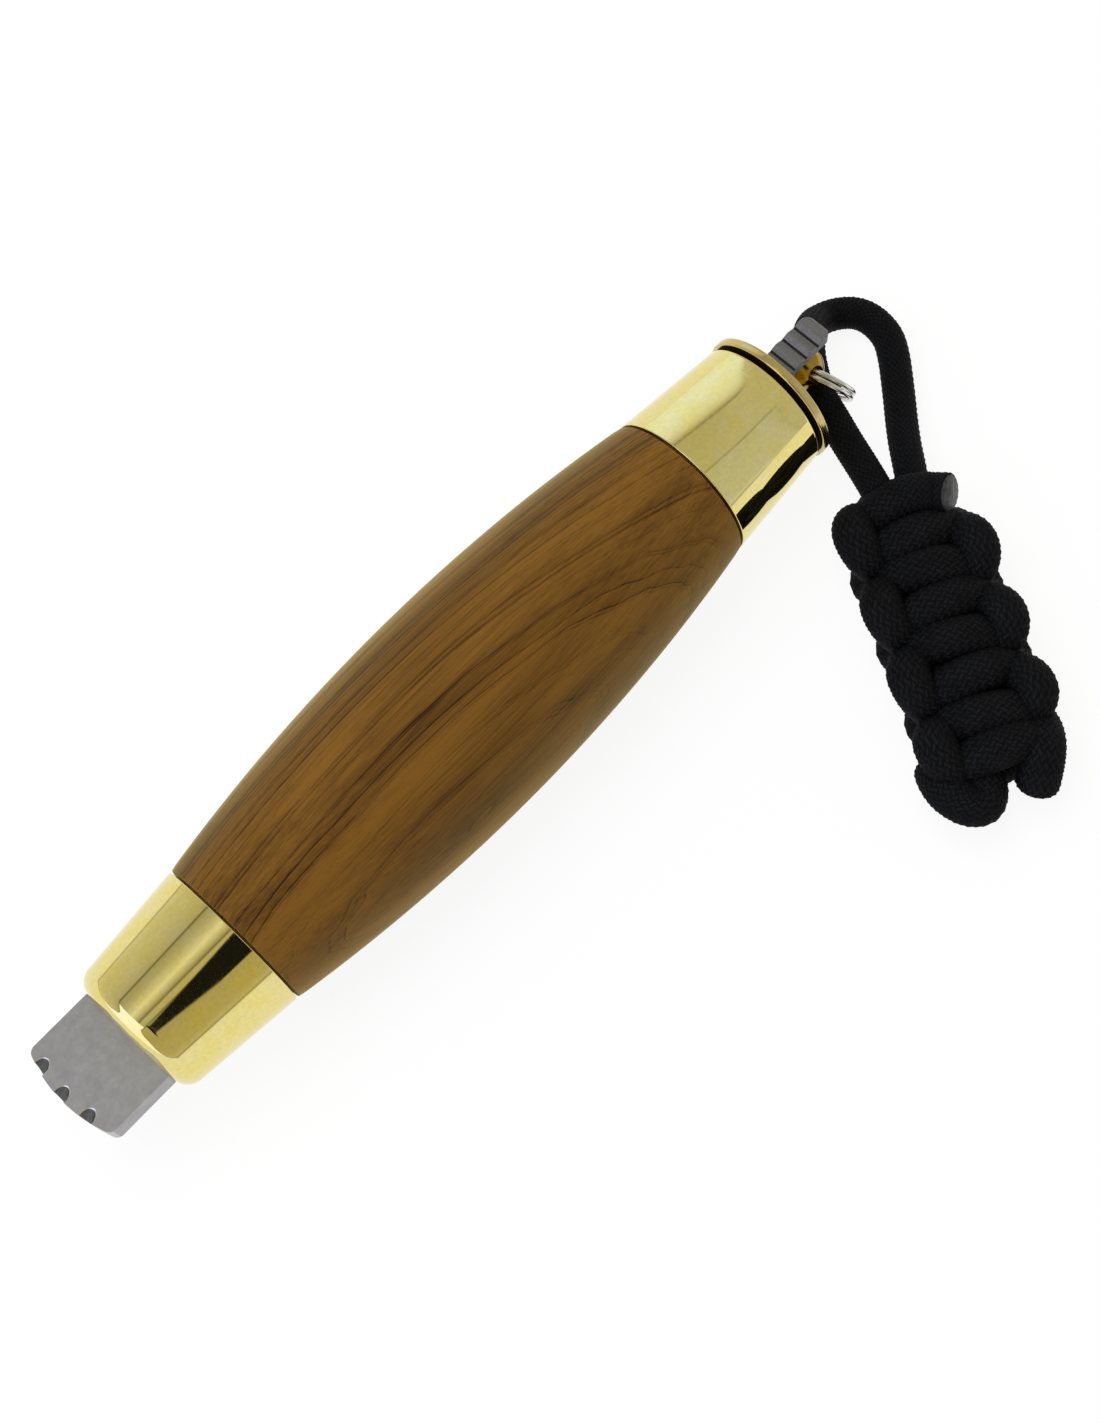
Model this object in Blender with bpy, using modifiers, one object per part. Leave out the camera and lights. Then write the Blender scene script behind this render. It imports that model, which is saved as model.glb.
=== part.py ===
"""Barrel knife: a turned wood barrel between two brass ferrules holds a sliding frame.

The frame carries the folding blade at its front and a brass end disc with a ball eye at its rear.
A leaf spring on the frame reaches out through the disc as a thumb tongue and catches the rear ferrule.
A split ring in the ball eye carries a lanyard of braided cord, woven into a flat bar.
X runs along the barrel, with the blade end towards -X. The barrel lies on its belly on z = 0.
"""

import math

import bmesh
import bpy
from mathutils import Matrix, Vector

# Driving dimensions, in metres
# Fits
FIT_GAP = 0.0001  # glued, pressed and riveted faces
RUN_GAP = 0.0002  # sliding faces
JOINT_GAP = 0.0003  # dark line between the wood and each ferrule

# Blade and its tang
TANG_WIDTH = 0.0130
TANG_SHOWING = 0.0096  # tang that stands out of the nose
TANG_CORNER = 0.0010
BLADE_THICKNESS = 0.0035
EDGE_THICKNESS = 0.0003
BLADE_NARROWING = 0.0006  # each side, from tang to blade
GRIND_WIDTH = 0.0052
TIP_CLEARANCE = 0.0015  # from the blade's tip to the rear block
NOTCH_COUNT = 3
NOTCH_PITCH = 0.0038
NOTCH_RADIUS = 0.0008
NOTCH_INSET = 0.0003
NOTCH_OFFSET = 0.0005  # the row of notches sits off the middle

# Barrel
WOOD_LENGTH = 0.0710
BORE_CLEARANCE = 0.0003  # between the tang's corners and the bore
SPIGOT_WALL = 0.0006  # wood left under the ferrule's outer end
FERRULE_WALL = 0.0008
FERRULE_TAPER = 0.0012  # growth of the radius from a ferrule's outer end to the wood
BELLY_RISE = 0.0029  # growth of the radius from the wood's ends to its belly
BELLY_LAND = 0.0140  # straight stretch in the middle, which the barrel lies on
FRONT_FERRULE_LENGTH = 0.0156
REAR_FERRULE_LENGTH = 0.0146
NOSE_WALL = 0.0015
NOSE_ROUND = 0.0023
MOUTH_LIP = 0.0013
MOUTH_ROUND = 0.0004
CATCH_POCKET = 0.0032  # hollow behind the lip, for the latch

# Frame
LINER_WIDTH = 0.0110
LINER_THICKNESS = 0.0009
NOSE_CLEARANCE = 0.0010  # from the liners' round front to the nose wall
PIN_RADIUS = 0.0019
PIN_HEAD_RADIUS = 0.0029
PIN_HEAD = 0.0006
BLOCK_LENGTH = 0.0092
RIVET_RADIUS = 0.0011
RIVET_HEAD_RADIUS = 0.0017
RIVET_HEAD = 0.0004
RIVET_SPACING = 0.0068

# End disc and ball eye
DISC_GAP = 0.00055
DISC_THICKNESS = 0.0011
DISC_OVERHANG = 0.0002
DISC_ROUND = 0.00015
BOSS_LENGTH = 0.0040
SHANK_RADIUS = 0.0011
SHANK_DEPTH = 0.0050  # screwed into the rear block
COLLAR_RADIUS = 0.0026
NECK_RADIUS = 0.0018
BALL_RADIUS = 0.00275
BALL_REACH = 0.00475
EYE_RADIUS = 0.0012
EYE_TILT = math.radians(24)  # the angle at which the post came home

# Latch spring
LEAF_LENGTH = 0.0594
LEAF_WIDTH = 0.0037
LEAF_THICKNESS = 0.0009
LEAF_ROOT = 0.0120
LEAF_RAMP = 0.0220
LEAF_LIFT = 0.0003  # gap under the root, for its small turn
LEAF_RIVET_PITCH = 0.0060
LEAF_RIVET_RADIUS = 0.0009
NIB_HEIGHT = 0.00025
NIB_LENGTH = 0.0024
TONGUE_SHOWING = 0.0077
TONGUE_RISE = 0.0008
TOOTH_COUNT = 3
TOOTH_PITCH = 0.0020
TOOTH_DEPTH = 0.0004
TONGUE_CORNER = 0.0012
PRESS_ANGLE = math.radians(1.8)

# Split ring and lanyard
RING_RADIUS = 0.0044  # to the middle of the wire
WIRE_RADIUS = 0.00031
RING_TURNS = 2
RING_PITCH = 0.00072
RING_SWING = math.radians(25)  # leaning back from the disc
RING_TWIST = math.radians(6)  # the cord's pull turns it a little in the eye
RING_LIFT = 0.00033  # of the wire over the middle of the eye
CORD_RADIUS = 0.00185
WEAVE_LENGTH = 0.0390
WEAVE_WIDTH = 0.0184
WEAVE_THICKNESS = 0.0092
WEAVE_LIFT = 0.00015  # its own stiffness holds the bar just off the table
WEAVE_KNOTS = 9
WEAVE_PHASE = math.radians(65)  # of the side lobes, from the top end
WEAVE_HEADING = math.radians(240.7)
WEAVE_TOP = Vector((0.0543, -0.0170, 0.0))  # from the middle of the barrel, on the table

# The cord's free loop, from the woven bar through the ring, round and back; z is up from the table
LOOP_ROUTE = [
    (0.0533, -0.0156, 0.0051),
    (0.0544, -0.0124, 0.0054),
    (0.0556, -0.0083, 0.0061),
    (0.0564, -0.0058, 0.0066),
    (0.0575, -0.0024, 0.0074),
    (0.0596, 0.0010, 0.0085),
    (0.0625, 0.0037, 0.0075),
    (0.0648, 0.0050, 0.0053),
    (0.0666, 0.0055, 0.0034),
    (0.0682, 0.0054, 0.0024),
    (0.0697, 0.0047, 0.0020),
    (0.0709, 0.0034, 0.0020),
    (0.0715, 0.0018, 0.0020),
    (0.0715, -0.0001, 0.0020),
    (0.0709, -0.0021, 0.0020),
    (0.0695, -0.0041, 0.0020),
    (0.0677, -0.0061, 0.0021),
    (0.0656, -0.0083, 0.0023),
    (0.0633, -0.0106, 0.0028),
    (0.0611, -0.0129, 0.0034),
    (0.0590, -0.0153, 0.0041),
    (0.0571, -0.0175, 0.0046),
]

# Facets
BARREL_STEPS = 36
POST_STEPS = 32
HOLE_STEPS = 24
ARC_POINTS = 6

# Sizes that follow from the driving ones
BORE_RADIUS = math.hypot(TANG_WIDTH / 2, BLADE_THICKNESS / 2) + BORE_CLEARANCE
FERRULE_END_RADIUS = BORE_RADIUS + SPIGOT_WALL + FIT_GAP + FERRULE_WALL
JOINT_RADIUS = FERRULE_END_RADIUS + FERRULE_TAPER
BELLY_RADIUS = JOINT_RADIUS + BELLY_RISE
AXIS_HEIGHT = BELLY_RADIUS * math.cos(math.pi / BARREL_STEPS)
WOOD_END = WOOD_LENGTH / 2
NOSE_X = -WOOD_END - FRONT_FERRULE_LENGTH
MOUTH_X = WOOD_END + REAR_FERRULE_LENGTH
TANG_END_RADIUS = TANG_SHOWING + NOSE_WALL + NOSE_CLEARANCE + LINER_WIDTH / 2
PIVOT_X = NOSE_X - TANG_SHOWING + TANG_END_RADIUS
DISC_FRONT_X = MOUTH_X + DISC_GAP
DISC_REAR_X = DISC_FRONT_X + DISC_THICKNESS
DISC_RADIUS = FERRULE_END_RADIUS + DISC_OVERHANG
BOSS_FRONT_X = DISC_FRONT_X - BOSS_LENGTH
BLOCK_REAR_X = BOSS_FRONT_X - FIT_GAP
BLOCK_X = BLOCK_REAR_X - BLOCK_LENGTH / 2
BLADE_TIP_X = BLOCK_REAR_X - BLOCK_LENGTH - TIP_CLEARANCE
LINER_INNER = BLADE_THICKNESS / 2 + FIT_GAP
LINER_OUTER = LINER_INNER + LINER_THICKNESS
BALL_X = DISC_REAR_X + BALL_REACH
TONGUE_TIP_X = DISC_REAR_X + TONGUE_SHOWING
LEAF_FRONT_X = TONGUE_TIP_X - LEAF_LENGTH
HINGE_X = LEAF_FRONT_X + LEAF_ROOT / 2
LEAF_LOW = LINER_OUTER + LEAF_LIFT
NIB_TOP = math.sqrt((BORE_RADIUS - RUN_GAP) ** 2 - (LEAF_WIDTH / 2) ** 2)
LEAF_TOP = NIB_TOP - NIB_HEIGHT
LEAF_HIGH = LEAF_TOP - LEAF_THICKNESS
HINGE_Z = LEAF_LOW + LEAF_THICKNESS / 2
# The middle of the knife's length stands over the origin
KNIFE_X = -(NOSE_X - TANG_SHOWING + max(TONGUE_TIP_X, BALL_X + BALL_RADIUS)) / 2


def arc(centre, radius, start, end, count=ARC_POINTS):
    """Points of a round stretch, with both of its ends."""
    turn = (end - start) / count
    return [
        (centre[0] + radius * math.cos(start + turn * i), centre[1] + radius * math.sin(start + turn * i))
        for i in range(count + 1)
    ]


def new_collection(name):
    collection = bpy.data.collections.new(name)
    bpy.context.scene.collection.children.link(collection)
    return collection


def new_material(name, colour, metallic, roughness):
    material = bpy.data.materials.new(name)
    material.use_nodes = True
    shader = material.node_tree.nodes["Principled BSDF"]
    shader.inputs["Base Color"].default_value = (*colour, 1.0)
    shader.inputs["Metallic"].default_value = metallic
    shader.inputs["Roughness"].default_value = roughness
    return material


def new_empty(name, parent=None, location=(0, 0, 0), rotation=(0, 0, 0)):
    empty = bpy.data.objects.new(name, None)
    empty.parent = parent
    empty.location = location
    empty.rotation_euler = rotation
    PARTS.objects.link(empty)
    return empty


def place(name, data, parent, colour, location=(0, 0, 0), rotation=(0, 0, 0)):
    """One sub-part in the knife's collection, with its own material."""
    piece = bpy.data.objects.new(name, data)
    piece.parent = parent
    piece.location = location
    piece.rotation_euler = rotation
    piece.data.materials.append(new_material(name, *FINISHES[colour]))
    PARTS.objects.link(piece)
    return piece


def cutter(name, data, parent, location=(0, 0, 0), rotation=(0, 0, 0)):
    """A tool for a Boolean, kept out of the picture."""
    tool = bpy.data.objects.new(name, data)
    tool.parent = parent
    tool.location = location
    tool.rotation_euler = rotation
    tool.hide_render = True
    tool.display_type = "WIRE"
    CUTTERS.objects.link(tool)
    return tool


def shape(piece, tool, operation="DIFFERENCE"):
    boolean = piece.modifiers.new(tool.name, "BOOLEAN")
    boolean.operation = operation
    boolean.solver = "EXACT"
    boolean.object = tool


def rod(name, radius, depth, steps=HOLE_STEPS):
    """A closed cylinder along Z round its own middle."""
    mesh = bpy.data.meshes.new(name)
    bm = bmesh.new()
    bmesh.ops.create_cone(
        bm, cap_ends=True, segments=steps, radius1=radius, radius2=radius, depth=depth
    )
    bm.to_mesh(mesh)
    bm.free()
    return mesh


def block(name, size):
    """A closed box round its own middle."""
    mesh = bpy.data.meshes.new(name)
    bm = bmesh.new()
    bmesh.ops.create_cube(bm, size=1.0, matrix=Matrix.Diagonal((*size, 1.0)))
    bm.to_mesh(mesh)
    bm.free()
    return mesh


def turned(name, profile, steps, parent, colour, closed=False, **where):
    """A profile of radius and height turned round Z; it runs down its outer side."""
    mesh = bpy.data.meshes.new(name)
    edges = [(i, i + 1) for i in range(len(profile) - 1)]
    if closed:
        edges.append((len(profile) - 1, 0))
    mesh.from_pydata([(radius, 0, height) for radius, height in profile], edges, [])
    piece = place(name, mesh, parent, colour, **where)
    screw = piece.modifiers.new("turn", "SCREW")
    screw.axis = "Z"
    screw.angle = 2 * math.pi
    screw.steps = steps
    screw.render_steps = steps
    screw.use_merge_vertices = True
    screw.merge_threshold = 0.000001
    return piece


def outline_mesh(name, outline, thickness):
    """A flat outline in XY made into a closed plate round z = 0."""
    curve = bpy.data.curves.new(name, "CURVE")
    curve.dimensions = "2D"
    curve.fill_mode = "BOTH"
    curve.extrude = thickness / 2
    spline = curve.splines.new("POLY")
    spline.points.add(len(outline) - 1)
    for point, (x, y) in zip(spline.points, outline):
        point.co = (x, y, 0, 1)
    spline.use_cyclic_u = True
    holder = bpy.data.objects.new(name, curve)
    bpy.context.scene.collection.objects.link(holder)
    ready = holder.evaluated_get(bpy.context.evaluated_depsgraph_get())
    mesh = bpy.data.meshes.new_from_object(ready)
    bpy.data.objects.remove(holder)
    bpy.data.curves.remove(curve)
    bm = bmesh.new()
    bm.from_mesh(mesh)
    bmesh.ops.remove_doubles(bm, verts=bm.verts, dist=0.000001)
    bmesh.ops.recalc_face_normals(bm, faces=bm.faces)
    bm.to_mesh(mesh)
    bm.free()
    mesh.name = name
    return mesh


def loft(name, sections):
    """Closed solid through sections that all have the same number of points."""
    bm = bmesh.new()
    rings = [[bm.verts.new(point) for point in section] for section in sections]
    count = len(rings[0])
    for near, far in zip(rings, rings[1:]):
        for i in range(count):
            j = (i + 1) % count
            bm.faces.new((near[i], near[j], far[j], far[i]))
    bm.faces.new(rings[0])
    bm.faces.new(rings[-1])
    bmesh.ops.recalc_face_normals(bm, faces=bm.faces)
    mesh = bpy.data.meshes.new(name)
    bm.to_mesh(mesh)
    bm.free()
    return mesh


def tube(name, points, radius, resolution, parent, colour, **where):
    curve = bpy.data.curves.new(name, "CURVE")
    curve.dimensions = "3D"
    curve.bevel_depth = radius
    curve.bevel_resolution = resolution
    curve.use_fill_caps = True
    spline = curve.splines.new("POLY")
    spline.points.add(len(points) - 1)
    for point, place_at in zip(spline.points, points):
        point.co = (*place_at, 1)
    return place(name, curve, parent, colour, **where)


def smooth_route(points, per_span=2):
    """Points of a smooth curve through the chosen ones."""
    knots = [Vector(point) for point in points]
    knots = [2 * knots[0] - knots[1], *knots, 2 * knots[-1] - knots[-2]]
    route = []
    for a, b, c, d in zip(knots, knots[1:], knots[2:], knots[3:]):
        for i in range(per_span):
            t = i / per_span
            bend = (2 * a - 5 * b + 4 * c - d) * t**2 + (3 * b - a - 3 * c + d) * t**3
            route.append(b + ((c - a) * t + bend) / 2)
    route.append(knots[-2])
    return route


def ferrule_radius(x):
    """Outer radius of either ferrule at a place along the barrel."""
    reach = FRONT_FERRULE_LENGTH if x < 0 else REAR_FERRULE_LENGTH
    return JOINT_RADIUS - FERRULE_TAPER * (abs(x) - WOOD_END) / reach


def spigot_radius(x):
    return ferrule_radius(x) - FERRULE_WALL - FIT_GAP


def make_wood():
    """The barrel's wood: a long arc outside, a spigot under each ferrule and one straight bore."""
    front_end = NOSE_X + NOSE_WALL + FIT_GAP
    rear_end = MOUTH_X - MOUTH_LIP - CATCH_POCKET
    reach = WOOD_END - BELLY_LAND / 2
    arc_radius = (reach**2 + BELLY_RISE**2) / (2 * BELLY_RISE)
    half = math.asin(reach / arc_radius)
    hub = BELLY_RADIUS - arc_radius
    belly = arc((hub, BELLY_LAND / 2), arc_radius, half, 0)
    belly += arc((hub, -BELLY_LAND / 2), arc_radius, 0, -half)
    profile = [
        (BORE_RADIUS, rear_end),
        (spigot_radius(rear_end), rear_end),
        (spigot_radius(WOOD_END), WOOD_END),
        *belly,
        (spigot_radius(-WOOD_END), -WOOD_END),
        (spigot_radius(front_end), front_end),
        (BORE_RADIUS, front_end),
    ]
    return turned("barrel_wood", profile, BARREL_STEPS, TURNING, "wood", closed=True, rotation=HALF_STEP)


def make_front_ferrule():
    """A tapered cap with a round nose and a slot that the tang passes."""
    joint = -WOOD_END - JOINT_GAP
    floor = NOSE_X + NOSE_WALL
    nose_centre = (ferrule_radius(NOSE_X) - NOSE_ROUND, NOSE_X + NOSE_ROUND)
    profile = [
        (0, floor),
        (ferrule_radius(floor) - FERRULE_WALL, floor),
        (ferrule_radius(joint) - FERRULE_WALL, joint),
        (ferrule_radius(joint), joint),
        *arc(nose_centre, NOSE_ROUND, 0, -math.pi / 2),
        (0, NOSE_X),
    ]
    ferrule = turned("front_ferrule", profile, BARREL_STEPS, TURNING, "brass", rotation=HALF_STEP)
    slot_size = (4 * NOSE_WALL, TANG_WIDTH + 2 * RUN_GAP, BLADE_THICKNESS + 2 * RUN_GAP)
    slot = cutter("tang_slot", block("tang_slot", slot_size), AXIS, (NOSE_X, 0, 0))
    shape(ferrule, slot)


def make_rear_ferrule():
    """A tapered sleeve whose inward lip holds the latch."""
    joint = WOOD_END + JOINT_GAP
    lip = MOUTH_X - MOUTH_LIP
    outer = ferrule_radius(MOUTH_X) - MOUTH_ROUND
    profile = [
        (BORE_RADIUS, MOUTH_X),
        *arc((outer, MOUTH_X - MOUTH_ROUND), MOUTH_ROUND, math.pi / 2, 0, 3),
        (ferrule_radius(joint), joint),
        (ferrule_radius(joint) - FERRULE_WALL, joint),
        (ferrule_radius(lip) - FERRULE_WALL, lip),
        (BORE_RADIUS, lip),
    ]
    turned("rear_ferrule", profile, BARREL_STEPS, TURNING, "brass", closed=True, rotation=HALF_STEP)


def blade_sections():
    """Sections of tang and blade along X: flat sides, one ground edge and a dropped point."""
    half = TANG_WIDTH / 2
    full = BLADE_THICKNESS / 2
    thin = EDGE_THICKNESS / 2
    turn = math.asin((half - TANG_CORNER) / (TANG_END_RADIUS - TANG_CORNER))
    hub = TANG_END_RADIUS - TANG_CORNER
    corner = (PIVOT_X - hub * math.cos(turn), half - TANG_CORNER)
    end = [
        (PIVOT_X - TANG_END_RADIUS * math.cos(turn * i / 4), TANG_END_RADIUS * math.sin(turn * i / 4))
        for i in range(1, 4)
    ]
    end += arc(corner, TANG_CORNER, math.pi - turn, math.pi / 2)
    tang_rear = PIVOT_X + LINER_WIDTH / 2
    blade_length = BLADE_TIP_X - tang_rear
    plunge = tang_rear + blade_length / 12
    back = half - BLADE_NARROWING
    sections = [(x, y, -y, -y, full) for x, y in end]
    sections.append((tang_rear, half, -half, -half, full))
    sections.append((plunge, back, -back, -back, full))
    for i in range(1, 14):
        share = i / 14
        drop = max(0, (share - 0.55) / 0.45) ** 2
        belly = max(0, (share - 0.7) / 0.3) ** 2.2
        point = -back / 4
        top = back + (point - back) * drop
        edge = -back + (point + back) * belly
        ground = min(edge + GRIND_WIDTH, (top + edge) / 2)
        x = plunge + (BLADE_TIP_X - plunge) * share
        sections.append((x, top, ground, edge, thin))
    for x, top, ground, edge, rim in sections:
        step = (top - edge) / 20
        low = max(ground, edge + step)
        yield [
            (x, top, full), (x, low, full), (x, edge, rim),
            (x, edge, -rim), (x, low, -full), (x, top, -full),
        ]


def make_blade():
    blade = place("blade", loft("blade", list(blade_sections())), FRAME, "blade_steel")
    hole = rod("pivot_hole", PIN_RADIUS + FIT_GAP, 2 * BLADE_THICKNESS)
    shape(blade, cutter("pivot_hole", hole, FRAME, (PIVOT_X, 0, 0)))
    tool = rod("tang_notch", NOTCH_RADIUS, 8 * NOTCH_RADIUS, HOLE_STEPS)
    for i in range(NOTCH_COUNT):
        y = NOTCH_OFFSET + NOTCH_PITCH * (i - (NOTCH_COUNT - 1) / 2)
        end = PIVOT_X - math.sqrt(TANG_END_RADIUS**2 - y**2)
        at = (end + NOTCH_INSET, y, BLADE_THICKNESS / 2)
        shape(blade, cutter(f"tang_notch_{i + 1}", tool, FRAME, at, (0, math.pi / 4, 0)))


def make_liners():
    """Two plates with round fronts, riveted to the rear block and pinned through the blade."""
    half = LINER_WIDTH / 2
    outline = [
        (BLOCK_REAR_X, -half),
        (BLOCK_REAR_X, half),
        *arc((PIVOT_X, 0), half, math.pi / 2, 3 * math.pi / 2, 2 * ARC_POINTS),
    ]
    middle = (LINER_INNER + LINER_OUTER) / 2
    for name, side in (("frame_liner_top", 1), ("frame_liner_bottom", -1)):
        mesh = outline_mesh(name, outline, LINER_THICKNESS)
        liner = place(name, mesh, FRAME, "frame_steel", (0, 0, side * middle))
        holes = [("pin", PIVOT_X, 0, PIN_RADIUS)]
        holes += [(f"rivet{i}", BLOCK_X, y, RIVET_RADIUS) for i, y in enumerate(RIVET_Y)]
        if side > 0:
            holes += [(f"leaf{i}", x, 0, LEAF_RIVET_RADIUS) for i, x in enumerate(LEAF_RIVET_X)]
        for label, x, y, radius in holes:
            drill = rod(f"{name}_{label}", radius + FIT_GAP, 3 * LINER_THICKNESS)
            shape(liner, cutter(drill.name, drill, FRAME, (x, y, side * middle)))


def headed_pin(radius, head_radius, head, reach):
    """Profile of a rivet or pin with a low domed head on both ends."""
    rise = head * 0.6
    seat = reach + FIT_GAP
    return [
        (0, seat + head),
        (head_radius * 0.6, seat + head),
        (head_radius, seat + head - rise),
        (head_radius, seat),
        (radius, seat),
        (radius, -seat),
        (head_radius, -seat),
        (head_radius, -seat - head + rise),
        (head_radius * 0.6, -seat - head),
        (0, -seat - head),
    ]


def make_pins():
    pin = headed_pin(PIN_RADIUS, PIN_HEAD_RADIUS, PIN_HEAD, LINER_OUTER)
    turned("pivot_pin", pin, HOLE_STEPS, FRAME, "frame_steel", location=(PIVOT_X, 0, 0))
    rivet = headed_pin(RIVET_RADIUS, RIVET_HEAD_RADIUS, RIVET_HEAD, LINER_OUTER)
    for side, y in zip(("left", "right"), RIVET_Y):
        turned(f"block_rivet_{side}", rivet, HOLE_STEPS, FRAME, "frame_steel", location=(BLOCK_X, y, 0))


def make_rear_block():
    """The spacer that keeps the liners a blade's thickness apart and takes the post's screw."""
    size = (BLOCK_LENGTH, LINER_WIDTH, BLADE_THICKNESS)
    spacer = place("rear_block", block("rear_block", size), FRAME, "frame_steel", (BLOCK_X, 0, 0))
    for side, y in zip(("left", "right"), RIVET_Y):
        drill = rod(f"block_hole_{side}", RIVET_RADIUS + FIT_GAP, 2 * BLADE_THICKNESS)
        shape(spacer, cutter(drill.name, drill, FRAME, (BLOCK_X, y, 0)))
    drill = rod("screw_hole", SHANK_RADIUS + FIT_GAP, 2 * SHANK_DEPTH + 4 * FIT_GAP)
    shape(spacer, cutter("screw_hole", drill, FRAME_TURNING, (0, 0, BLOCK_REAR_X)))


def make_end_disc():
    """A brass disc with a boss in the ferrule's mouth and a slot for the latch spring."""
    boss = BORE_RADIUS - RUN_GAP
    hole = SHANK_RADIUS + FIT_GAP
    rim = DISC_RADIUS - DISC_ROUND
    profile = [
        (hole, DISC_REAR_X),
        (rim, DISC_REAR_X),
        (DISC_RADIUS, DISC_REAR_X - DISC_ROUND),
        (DISC_RADIUS, DISC_FRONT_X + DISC_ROUND),
        (rim, DISC_FRONT_X),
        (boss, DISC_FRONT_X),
        (boss, BOSS_FRONT_X),
        (hole, BOSS_FRONT_X),
    ]
    disc = turned(
        "end_disc", profile, BARREL_STEPS, FRAME_TURNING, "brass", closed=True, rotation=HALF_STEP
    )
    low = LEAF_HIGH - (DISC_REAR_X - HINGE_X) * math.tan(PRESS_ANGLE) - RUN_GAP
    high = LEAF_TOP + RUN_GAP
    width = LEAF_WIDTH + 2 * RUN_GAP
    through = block("leaf_slot", (4 * BOSS_LENGTH, width, high - low))
    shape(disc, cutter("leaf_slot", through, FRAME, (DISC_FRONT_X, 0, (low + high) / 2)))
    top = 2 * BORE_RADIUS
    notch = block("boss_notch", (2 * BOSS_LENGTH, width, top - low))
    shape(disc, cutter("boss_notch", notch, FRAME, (DISC_FRONT_X - BOSS_LENGTH, 0, (low + top) / 2)))


def make_eye_post():
    """A screw with a collar, a drawn-in neck and a cross-drilled ball."""
    seat = DISC_REAR_X + FIT_GAP
    lowest = math.pi / 2 - math.asin(NECK_RADIUS / BALL_RADIUS)
    ball = arc((0, BALL_X), BALL_RADIUS, math.pi / 2, -lowest, 2 * ARC_POINTS)
    neck = BALL_X - BALL_RADIUS * math.sin(lowest)
    profile = [
        *ball,
        (NECK_RADIUS, (2 * neck + seat) / 3),
        (COLLAR_RADIUS * 0.85, (neck + 3 * seat) / 4),
        (COLLAR_RADIUS, seat + (neck - seat) / 8),
        (COLLAR_RADIUS, seat),
        (SHANK_RADIUS, seat),
        (SHANK_RADIUS, BOSS_FRONT_X - SHANK_DEPTH),
        (0, BOSS_FRONT_X - SHANK_DEPTH),
    ]
    post = turned("eye_post", profile, POST_STEPS, FRAME_TURNING, "brass")
    drill = rod("eye_hole", EYE_RADIUS, 4 * BALL_RADIUS)
    shape(post, cutter("eye_hole", drill, EYE, rotation=(math.pi / 2, 0, 0)))


def make_latch_spring():
    """A leaf on the top liner that rises to the disc, with a catching nib and a toothed tongue."""
    tooth_top = LEAF_TOP + TONGUE_RISE
    step = DISC_REAR_X + RUN_GAP * 2
    nib_rear = MOUTH_X - MOUTH_LIP - RUN_GAP
    ramp_start = LEAF_FRONT_X + LEAF_ROOT
    ramp_end = ramp_start + LEAF_RAMP
    top = [
        (LEAF_FRONT_X, LEAF_LOW + LEAF_THICKNESS),
        (ramp_start, LEAF_LOW + LEAF_THICKNESS),
        (ramp_end, LEAF_TOP),
        (nib_rear - NIB_LENGTH, LEAF_TOP),
        (nib_rear - NIB_LENGTH / 6, NIB_TOP),
        (nib_rear, NIB_TOP),
        (nib_rear, LEAF_TOP),
        (step, LEAF_TOP),
        (step + TOOTH_PITCH / 8, tooth_top - TOOTH_DEPTH),
    ]
    last_ridge = TONGUE_TIP_X - 0.8 * TOOTH_PITCH
    for i in reversed(range(TOOTH_COUNT)):
        ridge = last_ridge - i * TOOTH_PITCH
        top += [(ridge - 0.45 * TOOTH_PITCH, tooth_top - TOOTH_DEPTH), (ridge, tooth_top)]
    tip_round = (tooth_top - LEAF_HIGH) / 3
    tip = arc((TONGUE_TIP_X - tip_round, tooth_top - 1.6 * tip_round), tip_round, math.pi / 2, 0, 4)
    low = [
        (TONGUE_TIP_X - tip_round, LEAF_HIGH),
        (ramp_end, LEAF_HIGH),
        (ramp_start, LEAF_LOW),
        (LEAF_FRONT_X, LEAF_LOW),
    ]
    side = [(x - HINGE_X, z - HINGE_Z) for x, z in top + tip + low]
    mesh = outline_mesh("latch_spring", side, LEAF_WIDTH)
    mesh.transform(Matrix.Rotation(math.pi / 2, 4, "X"))
    leaf = place("latch_spring", mesh, LATCH, "spring_steel")
    half = LEAF_WIDTH / 2
    corner = TONGUE_TIP_X - TONGUE_CORNER
    plan = [
        (LEAF_FRONT_X - LEAF_THICKNESS, -2 * half),
        (corner - TONGUE_CORNER, -2 * half),
        (corner - TONGUE_CORNER, -half),
        *arc((corner, TONGUE_CORNER - half), TONGUE_CORNER, -math.pi / 2, 0),
        *arc((corner, half - TONGUE_CORNER), TONGUE_CORNER, 0, math.pi / 2),
        (corner - TONGUE_CORNER, half),
        (corner - TONGUE_CORNER, 2 * half),
        (LEAF_FRONT_X - LEAF_THICKNESS, 2 * half),
    ]
    tongue_plan = outline_mesh("tongue_plan", plan, 4 * BORE_RADIUS)
    shape(leaf, cutter("tongue_plan", tongue_plan, FRAME), "INTERSECT")
    for i, x in enumerate(LEAF_RIVET_X):
        drill = rod(f"leaf_hole_{i + 1}", LEAF_RIVET_RADIUS + RUN_GAP, 4 * LEAF_THICKNESS)
        shape(leaf, cutter(drill.name, drill, FRAME, (x, 0, HINGE_Z)))


def make_leaf_rivets():
    """Two rivets that hold the spring's root to the top liner."""
    foot = LINER_INNER
    head = LEAF_LOW + LEAF_THICKNESS + LEAF_LIFT
    wide = LEAF_RIVET_RADIUS * 1.75
    profile = [
        (0, head + RIVET_HEAD),
        (wide * 0.6, head + RIVET_HEAD),
        (wide, head + RIVET_HEAD / 3),
        (wide, head),
        (LEAF_RIVET_RADIUS, head),
        (LEAF_RIVET_RADIUS, foot),
        (0, foot),
    ]
    for side, x in zip(("front", "rear"), LEAF_RIVET_X):
        turned(f"leaf_rivet_{side}", profile, HOLE_STEPS, FRAME, "frame_steel", location=(x, 0, 0))


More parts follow.
